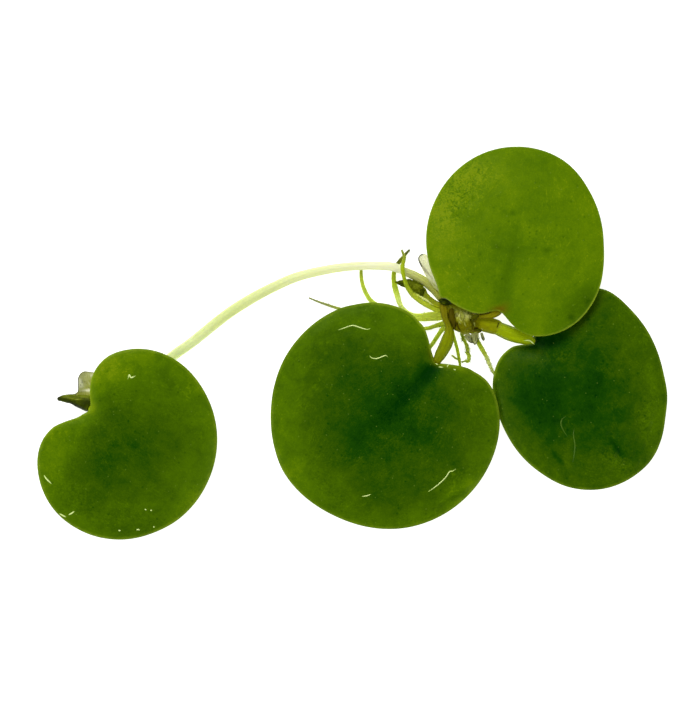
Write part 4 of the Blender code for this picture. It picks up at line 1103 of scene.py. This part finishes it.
# the shade runs from 0, darkest, to 1, palest; patches are (x, y, bearing, long, short, shade)
rolledForms = {
    "crown": {
        "slot": "crown", "look": "crown", "shade": 0.38, "overlap": 0, "seam": 0, "twist": 0, "lump": 0.22,
        "lumpLength": 0.8, "seed": 60,
        "route": [
            (11.75, 5.2, 1.9, 0.5), (12.3, 4.7, 1.9, 1), (13.45, 3.95, 1.9, 1.35), (14.55, 3.06, 2, 1.8),
            (15.6, 2.6, 1.8, 1.42), (16.35, 2.3, 1.72, 0.93)],
        "patches": [
            (12, 4.5, 90, 0.9, 0.5, 0.12), (12.9, 3.4, 90, 1, 0.45, -0.2),
            (14.05, 3.5, 0, 0.85, 0.75, 0.7), (15.2, 3.5, 60, 0.7, 0.45, 0.34),
            (14.5, 2.2, 0, 0.9, 0.4, 0.06), (16.25, 1.72, 0, 0.6, 0.3, -0.2),
            (13.74, 3.84, 0, 0.2, 0.2, -0.26), (13.9, 3.35, 0, 0.2, 0.16, -0.22),
            (13, 4.65, -30, 0.8, 0.3, 0.28), (14.65, 1.4, 0, 0.6, 0.3, 0.25),
            # the patch below lightens the crown under the top leaf's edge: painted light against the shadow
            # there
            (14.9, 4, -10, 1.2, 0.35, 0.22)]},
    "young_leaf": {
        "slot": "young_leaf", "look": "dark leaf", "shade": 0.605, "overlap": 0.14, "seam": 30,
        "twist": 20, "lump": 0.08, "lumpLength": 0.4, "seed": 61,
        "route": [
            (9.55, 6.15, 2, 0.4), (9.05, 6.68, 1.85, 0.7), (8.2, 7.28, 1.7, 0.86),
            (7.25, 7.73, 1.55, 0.72), (6.35, 7.85, 1.5, 0.44), (5.65, 7.93, 1.45, 0.12)],
        "patches": [
            # the first two patches paint a highlight along the upper edge
            (8.35, 8.12, -27, 1, 0.1, 0.55), (9.55, 7.15, -48, 0.8, 0.1, 0.55),
            (6.3, 7.75, 0, 0.7, 0.5, -0.32), (9.5, 6.2, 0, 0.4, 0.4, 0.15),
            (8.2, 6.6, -35, 0.8, 0.15, 0.15), (8.3, 7.9, -20, 1.6, 0.12, -0.25)]},
    "young_leaf_lobe": {
        "slot": "young_leaf", "look": "dark leaf", "shade": 0.3, "overlap": 0, "seam": 0, "twist": 0,
        "lump": 0.03, "lumpLength": 0.4, "seed": 62,
        "route": [(9.1, 6.85, 2.4, 0.3), (9, 6.45, 2.5, 0.24), (8.9, 6.05, 2.45, 0.07)], "patches": []},
    "daughter_young_leaf": {
        "slot": "young_leaf", "look": "cone leaf", "shade": 0.36, "overlap": 0.12, "seam": 72,
        "twist": -12, "lump": 0.04, "lumpLength": 0.7, "seed": 63,
        "route": [
            (-34.4, -7.68, 1.35, 1.24), (-34.95, -7.58, 1.4, 1.15), (-35.8, -7.36, 1.5, 0.94),
            (-36.55, -7.24, 1.6, 0.7), (-37.1, -7.19, 1.66, 0.6), (-37.7, -7.18, 1.72, 0.47),
            (-38.1, -7.2, 1.74, 0.31)],
        "patches": [
            # lighter patches along the upper side are partly the yellow-green colour and partly painted
            # highlight, with a painted highlight dash; darker patches along the lower side are painted shade
            (-37.2, -6.92, 0, 0.7, 0.22, 0.3), (-34.9, -6.92, 0, 1.2, 0.36, 0.34),
            (-34.75, -6.35, 8, 1.1, 0.16, 0.48), (-36.1, -8.05, -28, 1.8, 0.25, -0.3),
            (-38.25, -7.25, 0, 0.3, 0.3, -0.25), (-35.72, -7.31, 0, 0.38, 0.05, 0.5),
            (-36.4, -7.2, -10, 0.5, 0.08, 0.25), (-34.7, -7.7, 0, 0.9, 0.35, -0.14)]},
    "bud": {
        "slot": "young_leaf", "look": "bud leaf", "shade": 0.34, "overlap": 0.1, "seam": 70, "twist": 20,
        "lump": 0.02, "lumpLength": 0.5, "seed": 64,
        "route": [
            (11.15, 5.55, 3.2, 0.08), (11.42, 5.5, 3.24, 0.32), (11.8, 5.4, 3.26, 0.46),
            (12.2, 5.28, 3.26, 0.43), (12.55, 5.18, 3.24, 0.27), (12.8, 5.12, 3.2, 0.08)],
        # the first patch is a painted highlight on the bud
        "patches": [(11.83, 5.2, 0, 0.2, 0.12, 0.35), (12.35, 5.1, 0, 0.3, 0.15, -0.15)]},
    "daughter_crown": {
        "slot": "crown", "look": "crown", "shade": 0.45, "overlap": 0, "seam": 0, "twist": 0, "lump": 0.12,
        "lumpLength": 0.7, "seed": 65,
        "route": [
            (-34.2, -7.8, 1.1, 0.6), (-33.8, -7.7, 1.1, 0.9), (-33.4, -7.7, 1.1, 0.9),
            (-33, -7.6, 1.1, 0.6)],
        "patches": []},
}
rolledSides = 96

shadeLooks = {
    "crown": {
        "stops": [
            (0, (0.05, 0.036, 0.001)), (0.3, (0.14, 0.125, 0.001)), (0.5, (0.22, 0.23, 0.002)),
            (0.75, (0.37, 0.39, 0.035)), (1, (0.66, 0.67, 0.22))],
        "mottleSize": 0.8, "mottle": 0.55, "speckle": 0.16, "roughness": 0.4, "gloss": 0.02},
    "dark leaf": {
        "stops": [
            (0, (0.012, 0.018, 0.001)), (0.3, (0.055, 0.075, 0.001)), (0.55, (0.12, 0.15, 0.002)),
            (0.8, (0.3, 0.36, 0.02)), (1, (0.6, 0.66, 0.2))],
        "mottleSize": 0.7, "mottle": 0.5, "speckle": 0.2, "roughness": 0.35, "gloss": 0.02},
    "cone leaf": {
        "stops": [
            (0, (0.02, 0.024, 0.008)), (0.3, (0.05, 0.072, 0.002)), (0.55, (0.15, 0.19, 0.006)),
            (0.8, (0.3, 0.36, 0.03)), (1, (0.6, 0.66, 0.22))],
        "mottleSize": 0.8, "mottle": 0.32, "speckle": 0.1, "roughness": 0.3, "gloss": 0.04},
    "bud leaf": {
        "stops": [
            (0, (0.006, 0.01, 0.001)), (0.3, (0.026, 0.042, 0.001)), (0.6, (0.1, 0.13, 0.002)),
            (0.8, (0.2, 0.26, 0.01)), (1, (0.45, 0.5, 0.12))],
        "mottleSize": 0.8, "mottle": 0.22, "speckle": 0.08, "roughness": 0.28, "gloss": 0.03},
}


def lumpsOf(points, length, seed, count=14):
    # smooth random lumps in space, from about -1 to 1
    rng = np.random.RandomState(seed)
    total = np.zeros(points.shape[:-1])
    for _ in range(count):
        direction = rng.normal(size=3)
        direction /= np.linalg.norm(direction)
        size = length * rng.uniform(0.6, 1.6)
        total += np.sin(points @ direction * 2 * math.pi / size + rng.uniform(0, 2 * math.pi))
    return total / math.sqrt(count)


def sideAndUp(path):
    # unit vectors along a path, to its side and up from it
    forward = np.gradient(path[:, :3], axis=0)
    forward /= np.linalg.norm(forward, axis=1)[:, None]
    side = np.cross(forward, (0.0, 0.0, 1.0))
    side /= np.linalg.norm(side, axis=1)[:, None]
    return side, np.cross(side, forward)


def makeRolled(name, form):
    # a tube along the route whose skin overlaps itself at one seam; without overlap, a lumpy stem
    path = roundEnds(smoothRoute(form["route"], 8), 9)
    side, up = sideAndUp(path)
    turn = np.linspace(0, 2 * math.pi, rolledSides, endpoint=False)[None, :]
    along = np.linspace(0, 1, len(path))[:, None]
    seam = np.radians(form["seam"] + form["twist"] * along)
    wrap = ((turn - seam) % (2 * math.pi)) / (2 * math.pi)
    outward = np.cos(turn)[..., None] * side[:, None, :] + np.sin(turn)[..., None] * up[:, None, :]
    centre = path[:, None, :3]
    radius = path[:, 3][:, None]
    skin = centre + outward * radius[..., None]
    lump = form["lump"] * lumpsOf(skin, form["lumpLength"], form["seed"]) * 0.5
    reach = radius * (1 - form["overlap"] * wrap) + lump * np.minimum(1, radius / 0.3)
    rings = centre + outward * reach[..., None]
    mesh = loftMesh(name, rings * mm, path[0, :3] * mm, path[-1, :3] * mm)
    shade = form["shade"] + patchSum(rings[..., 0], rings[..., 1], form["patches"])
    shade -= 0.25 * np.exp(-((wrap - 1) / 0.015) ** 2) * (form["overlap"] > 0)
    addAttributes(mesh, {"shade": np.concatenate([[shade[0, 0]], shade.ravel(), [shade[-1, 0]]])})
    return mesh


def makeShadeMaterial(name, look):
    values = {"Specular IOR Level": look["gloss"], "Roughness": look["roughness"]}
    material, add = newMaterial(name, values)
    place = objectMillimetres(add)
    mottle = mottleAt(add, place, look["mottleSize"], look["mottle"])
    speckle = times(add, minus(add, 0.45, cellsAt(add, place, 5.0)["Distance"]), look["speckle"])
    shade = plus(add, plus(add, attribute(add, "shade"), mottle), speckle, clamp=True)
    colour = colourRamp(add, shade, look["stops"])
    return finishMaterial(material, add, {"Base Color": colour}, mottle, 0.5, 0.05)


shadeMaterials = {name: makeShadeMaterial(name, look) for name, look in shadeLooks.items()}
for formName, form in rolledForms.items():
    material = shadeMaterials[form["look"]]
    nodes = [formName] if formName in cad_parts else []
    addPiece(formName + "_skin", makeRolled(formName, form), material, nodes)

# strips draped over the crown: old leaf bases, dark or papery
crownStrips = {
    "crown_dark_strip": {
        "look": "dark brown", "tube": (24, 5, 0.012, 0.14, 0.45), "seed": 70,
        "routes": [
            [(12.85, 4.3, 0.05, 0.3), (12.9, 3.6, 0.02, 0.42), (13.08, 2.81, 0.02, 0.36),
             (13.2, 2.15, 0, 0.22)],
            [(13.5, 2.6, 0, 0.08), (13.7, 2.1, 0, 0.13), (13.95, 1.75, 0, 0.09)]]},
    "crown_dark_hook": {
        "look": "dark olive", "tube": (24, 5, 0.012, 0.08, 0.45), "seed": 71,
        "routes": [
            [(16.55, 3.68, 0.95, 0.1), (16.15, 3.56, 0.85, 0.26), (15.8, 3.36, 0.65, 0.36),
             (15.55, 3.08, 0.35, 0.2), (15.6, 2.5, 0.12, 0.11), (15.55, 1.9, 0.05, 0.08)],
            [(15.95, 1.75, 0, 0.07), (16.3, 1.72, 0.02, 0.16), (16.7, 1.62, 0, 0.08)]]},
    "crown_papery_strips": {
        "look": "papery", "tube": (24, 5, 0.012, 0.12, 0.45), "seed": 73,
        "routes": [
            [(14.2, 3.95, 0.03, 0.16), (14.25, 3.5, 0.03, 0.3), (14.25, 3, 0.02, 0.14)],
            [(13.8, 2.95, 0, 0.08), (13.88, 2.7, 0, 0.14), (14, 2.5, 0, 0.08)],
            [(14.42, 2.9, 0.02, 0.07), (14.55, 2.5, 0.02, 0.1), (14.75, 2.1, 0, 0.06)],
            [(15.2, 3.75, 0.05, 0.07), (15.35, 3.45, 0.08, 0.14), (15.2, 3.1, 0.03, 0.07)],
            [(15.5, 2.95, 0.12, 0.07), (15.75, 2.6, 0.1, 0.13), (15.88, 2.15, 0.06, 0.07)],
            [(14.1, 1.4, 0, 0.07), (14.5, 1.27, 0.03, 0.16), (15, 1.4, 0, 0.07)],
            [(16.72, 1.92, 0.95, 0.05), (16.86, 1.82, 1.05, 0.1), (17.02, 1.78, 1.1, 0.05)]]},
}


def crownTopAt(x, y):
    route = smoothRoute(rolledForms["crown"]["route"], 12)
    rise = route[:, 3] ** 2 - (route[:, 0] - x) ** 2 - (route[:, 1] - y) ** 2
    return float(np.max(np.where(rise > 0, route[:, 2] + np.sqrt(np.maximum(rise, 0)), 1.2)))


for stripName, strip in crownStrips.items():
    # each point's third number is its height over the crown's top
    draped = [[(x, y, crownTopAt(x, y) + lift, radius) for x, y, lift, radius in route]
              for route in strip["routes"]]
    addTube(stripName, draped, tubeMaterials[strip["look"]], strip, [])

# fine raised or sunken lines on the stalks
lineTube = {"tube": (12, 0, 0, 0.02, 0.5), "seed": 75}
fineLines = {
    # a raised fold line along the stalk's top; its dark brown is partly the fold's colour and partly painted
    # shade in the fold
    "leaf_top_stalk_fold_shade": {
        "slot": "red_stalk", "look": "dark brown",
        "route": [
            (16.5, 3.72, 3.82, 0.05), (17, 3.75, 3.8, 0.07), (17.55, 3.85, 3.78, 0.08),
            (17.9, 4.05, 3.78, 0.08), (18.25, 4.33, 3.8, 0.07), (18.35, 4.6, 3.75, 0.04)]},
    # a raised ridge coloured as a painted highlight along the stalk's end
    "leaf_right_stalk_glint_ridge": {
        "slot": "stalk", "look": "pale glint wrinkle",
        "route": [
            (22.25, 0.34, 2.92, 0.03), (22.5, 0.36, 2.95, 0.05), (22.8, 0.37, 2.94, 0.08),
            (23.03, 0.31, 2.9, 0.08), (23.32, 0.1, 2.8, 0.08), (23.6, -0.14, 2.58, 0.04)]},
    "leaf_right_sheath_slit": {
        "slot": "stalk", "look": "dark olive",
        "route": [
            (18.74, 2.02, 2.92, 0.03), (18.82, 2.2, 2.92, 0.07), (18.92, 2.45, 2.84, 0.08),
            (19.02, 2.66, 2.64, 0.07), (19.09, 2.82, 2.36, 0.04)]},
    "young_leaf_stalk_edge": {
        "slot": "stalk", "look": "ridge flecks", "tube": (16, 0, 0, 0.16, 0.24), "seed": 76,
        "route": [
            (8.05, 6.52, 2.78, 0.05), (8.35, 6.27, 2.82, 0.11), (8.7, 6.07, 2.85, 0.12),
            (9, 5.9, 2.87, 0.14), (9.33, 5.72, 2.88, 0.15), (9.62, 5.52, 2.88, 0.14),
            (9.95, 5.32, 2.88, 0.13), (10.2, 5.1, 2.88, 0.12), (10.55, 4.92, 2.85, 0.05)]},
}

for lineName, line in fineLines.items():
    addTube(lineName, [line["route"]], tubeMaterials[line["look"]], {**lineTube, **line}, [])
print("Crown, young leaves and bud made")


# Clear scales and stipules: thin cupped sheets with a darker rim

# stations are steps along the sheet with its left and right edge in millimetres;
# the rim is dark beyond rimFrom
skins = {
    "tall_stipule": {
        "foot": (11.8, 6.4, 2.75), "bearing": 117, "pitch": -14, "thick": 0.09, "cup": 0.3, "arch": 0,
        "stations": [
            (0, 0.22, -0.3), (0.6, 0.4, -0.8), (1.2, 0.66, -1), (2.3, 0.9, -1), (3.2, 0.97, -0.85),
            (4.1, 0.97, -0.65), (4.9, 0.95, -0.5), (5.5, 0.9, -0.45), (5.85, 0.72, -0.3),
            (6.03, 0.5, -0.05), (6.1, 0.3, 0.1)],
        "creases": [[(5.05, 0.84), (4, 0.62), (2.4, 0.36)], [(4.75, 0.9), (4.2, 0.8), (3.4, 0.7)]],
        "rimFrom": 0.74, "rimRight": -0.1, "look": "cream skin"},
    "crown_scale_front": {
        "foot": (15.93, 1.2, 1.25), "bearing": 268, "pitch": -12, "thick": 0.08, "cup": 0.35, "arch": 0,
        "stations": [
            (-0.15, 0.5, -0.48), (0.3, 0.5, -0.48), (0.7, 0.48, -0.44), (1, 0.4, -0.34),
            (1.25, 0.26, -0.16), (1.45, 0.08, -0.02)],
        "creases": [[(0.2, 0.2), (0.9, 0.1)]], "rimFrom": 0.35, "look": "clear skin"},
    "crown_scale_left": {
        "foot": (14.85, 1.1, 1.1), "bearing": 310, "pitch": -15, "thick": 0.07, "cup": 0.3, "arch": 0,
        "stations": [
            (-0.1, 0.35, -0.4), (0.3, 0.42, -0.42), (0.7, 0.42, -0.42), (1.1, 0.34, -0.32),
            (1.42, 0.12, -0.1)],
        "creases": [[(0.35, 0), (0.5, 0.02)]], "rimFrom": 0.6, "look": "clear skin"},
    "crown_scale_right": {
        "foot": (16.78, 1.25, 0.85), "bearing": 290, "pitch": -8, "thick": 0.07, "cup": 0.3, "arch": 0,
        "stations": [
            (-0.1, 0.2, -0.15), (0.3, 0.22, -0.18), (0.6, 0.22, -0.2), (0.85, 0.18, -0.15),
            (1, 0.05, -0.05)],
        "creases": [[(0.2, -0.1), (0.8, -0.05)]], "rimFrom": 0.55, "look": "clear skin"},
    "daughter_stipule": {
        "foot": (-34.3, -6.5, 1.95), "bearing": 95, "pitch": 4, "thick": 0.1, "cup": 0.28, "arch": 0,
        "stations": [
            (-0.5, 1.55, -0.4), (-0.05, 1.72, -0.5), (0.12, 1.7, -0.55), (0.25, 1.5, -0.6),
            (0.4, 1.36, -0.65), (0.8, 1.31, -0.87), (1.2, 1.27, -1), (1.6, 1.235, -1.08),
            (2.03, 1.2, -1.12), (2.37, 1.04, -1.12), (2.55, 0.92, -1.1), (2.65, 0.82, -0.95),
            (2.76, 0.68, -0.45), (2.83, 0.55, -0.12), (2.88, 0.36, 0.16)],
        "creases": [
            [(1.45, 0.72), (1.75, 0.7)], [(1.3, 0.25), (1.55, 0.32)], [(0.65, -0.2), (0.8, 0.05)],
            [(1.05, 0.93), (1.2, 0.96)]],
        "pales": [
            (1.42, 0.95, 5, 0.5, 0.26, 1.6), (0.36, 0, 90, 0.34, 0.14, 1.2),
            (0.42, 0.6, 90, 0.5, 0.12, 0.4), (2.3, -0.65, 90, 0.25, 0.2, 0.5)],
        "tones": [
            (1.3, -0.3, 0, 0.6, 0.42, -0.9), (0.1, 0.5, 90, 1, 0.35, -0.3), (2.3, -0.3, 0, 0.4, 0.5, -0.2)],
        "rimFrom": 0.1, "look": "tan skin"},
    "crown_wrap_left": {
        "foot": (13.5, 4.35, 2.95), "bearing": -74, "pitch": 2, "thick": 0.07, "cup": -0.4, "arch": 0.45,
        "stations": [
            (0, 0.3, -0.25), (0.5, 0.5, -0.4), (1.1, 0.5, -0.45), (1.6, 0.35, -0.35), (2, 0.1, -0.1)],
        "creases": [[(0.3, 0.1), (1.7, 0)], [(0.5, -0.25), (1.4, -0.2)]], "rimFrom": 0,
        "look": "papery skin"},
    "crown_wrap_middle": {
        "foot": (14.4, 4.05, 3.1), "bearing": -82, "pitch": -4, "thick": 0.07, "cup": -0.4, "arch": 0.5,
        "stations": [
            (0, 0.35, -0.3), (0.5, 0.45, -0.45), (1, 0.4, -0.45), (1.4, 0.25, -0.3), (1.7, 0.1, -0.1)],
        "creases": [[(0.2, 0.1), (1.4, 0.1)], [(0.4, -0.2), (1.2, -0.3)]], "rimFrom": 0,
        "look": "papery skin"},
}
skinAcross = 22

skinLooks = {
    "cream skin": {
        "foot": (0.64, 0.66, 0.22), "tip": (0.97, 0.95, 0.54), "rim": (0.035, 0.032, 0.014),
        "crease": (0.17, 0.13, 0.04), "pale": (0.98, 0.98, 0.7), "alpha": (0.5, 0.76), "rimWidth": 0.24,
        "rimAlpha": 0.95, "spots": 0, "streak": 0.45},
    "clear skin": {
        "foot": (0.46, 0.5, 0.09), "tip": (0.64, 0.69, 0.24), "rim": (0.09, 0.1, 0.01),
        "crease": (0.08, 0.085, 0.02), "pale": (0.7, 0.74, 0.34), "alpha": (0.72, 0.92), "rimWidth": 0.22,
        "rimAlpha": 0.97, "spots": 0, "streak": 0.4},
    "tan skin": {
        "foot": (0.38, 0.41, 0.006), "tip": (0.6, 0.61, 0.22), "rim": (0.1, 0.1, 0.025),
        "crease": (0.16, 0.16, 0.01), "pale": (1, 1, 0.66), "alpha": (0.88, 0.98), "rimWidth": 0.17,
        "rimAlpha": 1, "spots": 0.25, "streak": 0.25},
    "papery skin": {
        "foot": (0.34, 0.35, 0.05), "tip": (0.3, 0.31, 0.03), "rim": (0.36, 0.38, 0.08),
        "crease": (0.15, 0.15, 0.01), "pale": (0.46, 0.48, 0.14), "alpha": (0.55, 0.9), "rimWidth": 0.06,
        "rimAlpha": 0.9, "spots": 0.3, "streak": 0.5},
}


def makeSkin(name, skin):
    path = smoothRoute([(*station, 0) for station in skin["stations"]], 6)
    along, left, right = path[:, 0][:, None], path[:, 1][:, None], path[:, 2][:, None]
    bulge = np.sin(np.linspace(-1, 1, skinAcross) * math.pi / 2)[None, :]
    half = (left - right) / 2
    across = (left + right) / 2 + half * bulge
    start, end = along[0, 0], along[-1, 0]
    length = end - start
    height = skin["cup"] * half * (bulge**2 - 0.4)
    height = height + skin["arch"] * np.sin(np.clip((along - start) / length, 0, 1) * math.pi)
    wave = lumpsOf(np.stack([along + 0 * across, across, 0 * across], 2), 1.4, len(name))
    height = height + 0.03 * wave
    thick = skin["thick"] * np.sqrt(np.clip(1 - bulge**4, 0.0, 1)) / 2
    above = np.stack([along + 0 * across, across, height + thick], 2)
    under = np.stack([along + 0 * across, across, height - thick], 2)[:, ::-1][:, 1:-1]
    x, y, z = np.moveaxis(np.concatenate([above, under], 1), 2, 0)
    pitch, bearing = math.radians(skin["pitch"]), math.radians(skin["bearing"])
    ahead = x * math.cos(pitch) - z * math.sin(pitch)
    rings = np.stack([
        ahead * math.cos(bearing) - y * math.sin(bearing), ahead * math.sin(bearing) + y * math.cos(bearing),
        x * math.sin(pitch) + z * math.cos(pitch)], 2) + np.array(skin["foot"])
    bulges = np.concatenate([bulge[0], bulge[0][::-1][1:-1]])[None, :]
    edge = np.minimum((1 - np.abs(bulges)) * half, end - x)
    rimless = (x < start + skin["rimFrom"] * length) | (y < skin.get("rimRight", -9))
    crease = np.zeros(x.shape)
    for line in skin["creases"]:
        crease = np.maximum(crease, np.exp(-(distanceToLine(x, y, line) / 0.07) ** 2))
    full = lambda values: np.concatenate([[values[0].mean()], values.ravel(), [values[-1].mean()]])
    mesh = loftMesh(
        name, rings * mm, rings[0].mean(0) * mm, rings[-1].mean(0) * mm, np.stack([full(x), full(y)], 1))
    tone = (x - start) / length + patchSum(x, y, skin.get("tones", []))
    pale = patchSum(x, y, skin.get("pales", []))
    addAttributes(mesh, {
        "edge": full(edge + 10 * rimless), "crease": full(crease), "along": full(np.clip(tone, 0, 1)),
        "paleness": full(np.clip(pale * 1.3, 0, 1))})
    return mesh


def makeSkinMaterial(name, look):
    material, add = newMaterial(name, {"Specular IOR Level": 0.10, "Roughness": 0.30})
    uv = add("ShaderNodeUVMap", uv_map="UVMap").outputs[0]
    streak = noiseAt(add, vectorCalc(add, "MULTIPLY", uv, (0.7, 9.0, 0.0)), 1.4, 3)[0]
    streak = remap(add, streak, 0.35, 0.65)
    spots = times(add, remap(add, noiseAt(add, uv, 2.4)[0], 0.55, 0.68), look["spots"])
    crease = attribute(add, "crease")
    rim = remap(add, attribute(add, "edge"), look["rimWidth"], look["rimWidth"] * 0.3)
    colour = look["foot"]
    for share, over in (
            (attribute(add, "along"), look["tip"]), (times(add, streak, look["streak"]), look["pale"]),
            (spots, look["pale"]), (attribute(add, "paleness"), look["pale"]),
            (times(add, crease, 0.8), look["crease"]), (rim, look["rim"])):
        colour = mixColour(add, share, colour, over)
    alpha = remap(add, streak, 0.0, 1.0, *look["alpha"])
    for value, share in ((rim, look["rimAlpha"]), (crease, 0.85), (spots, 0.9)):
        alpha = calc(add, "MAXIMUM", alpha, times(add, value, share))
    return finishMaterial(material, add, {"Base Color": colour, "Alpha": alpha}, streak, 0.4, 0.03)


skinMaterials = {name: makeSkinMaterial(name, look) for name, look in skinLooks.items()}
for skinName, skin in skins.items():
    material = skinMaterials[skin["look"]]
    nodes = [skinName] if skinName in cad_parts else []
    addPiece(skinName + "_skin", makeSkin(skinName, skin), material, nodes)
print("Scales and stipules made")


# Root hairs: one Geometry Nodes tree scatters short bent hairs over a root

def makeHairTree():
    tree, add, given = newTree("GeometryNodeTree", "root hairs", {
        "Geometry": ["Geometry"], "Float": ["Density", "Hair Length", "Hair Radius"], "Int": ["Seed"],
        "Material": ["Material"]}, {"Geometry": ["Geometry"]})

    above = calc(add, "GREATER_THAN", split(add, add("GeometryNodeInputNormal").outputs[0])[2], -0.4)
    clump = noiseAt(add, add("GeometryNodeInputPosition").outputs[0], 1900.0, 1)[0]
    above = times(add, above, calc(add, "GREATER_THAN", clump, 0.50))
    spread = add("GeometryNodeDistributePointsOnFaces", {
        "Mesh": given["Geometry"], "Density": times(add, above, given["Density"]), "Seed": given["Seed"]})

    # one hair, bent, thinner towards its tip
    hair = add("GeometryNodeCurveQuadraticBezier", {
        "Resolution": 4, "Start": (0, 0, 0), "Middle": (0.15, 0, 0.5), "End": (0.45, 0.1, 0.95)}).outputs[0]
    share = add("GeometryNodeSplineParameter").outputs["Factor"]
    width = calc(add, "DIVIDE", given["Hair Radius"], given["Hair Length"])
    taper = times(add, width, remap(add, share, 0.0, 1.0, 1.0, 0.35))
    hair = add("GeometryNodeSetCurveRadius", {"Curve": hair, "Radius": taper}).outputs[0]
    ring = add("GeometryNodeCurvePrimitiveCircle", {"Resolution": 3, "Radius": 1.0}).outputs["Curve"]
    hair = add("GeometryNodeCurveToMesh", {
        "Curve": hair, "Profile Curve": ring, "Scale": add("GeometryNodeInputRadius").outputs[0],
        "Fill Caps": True}).outputs[0]

    turns = {0: (-0.7, -0.7, -3.1), 1: (0.7, 0.7, 3.1), "Seed": given["Seed"]}
    spin = add("FunctionNodeRandomValue", turns, data_type="FLOAT_VECTOR").outputs[0]
    rotation = add("FunctionNodeRotateRotation", {
        "Rotation": spread.outputs["Rotation"], "Rotate By": spin}, rotation_space="LOCAL").outputs[0]
    sizes = {2: 0.35, 3: 1.0, "Seed": given["Seed"]}
    size = add("FunctionNodeRandomValue", sizes, data_type="FLOAT").outputs[1]
    placed = add("GeometryNodeInstanceOnPoints", {
        "Points": spread.outputs["Points"], "Instance": hair, "Rotation": rotation,
        "Scale": times(add, size, given["Hair Length"])}).outputs[0]
    return endTree(tree, add, given, placed)


# hairs per square millimetre and their length in millimetres
hairs = {
    "root_curly": (34, 0.42), "root_right": (26, 0.34), "root_straight": (12, 0.26),
    "root_side": (22, 0.3), "root_below_middle": (10, 0.24), "root_far_left": (8, 0.22),
    "root_left": (8, 0.22), "root_under_runner": (6, 0.2), "root_over_runner": (4, 0.18)}
hairRadius = 0.034
firstHairSeed = 80


def makeHairs(name, density, length, material, seed):
    return runTree(hairTree, bpy.data.objects[name + "_skin"], {
        "Density": density / mm**2, "Hair Length": length * mm, "Hair Radius": hairRadius * mm,
        "Seed": seed, "Material": material})


def makeHairMaterial():
    return newMaterial("root hair", {
        "Base Color": (0.20, 0.26, 0.05, 1), "Roughness": 0.5, "Specular IOR Level": 0.1, "Alpha": 0.85})[0]


hairTree = makeHairTree()
hairMaterial = makeHairMaterial()
for number, (rootName, (density, length)) in enumerate(hairs.items()):
    mesh = makeHairs(rootName, density, length, hairMaterial, firstHairSeed + number)
    print(rootName, "hairs", len(mesh.polygons))
    addPiece(rootName + "_hairs", mesh, hairMaterial, [])
print("Root hairs made")
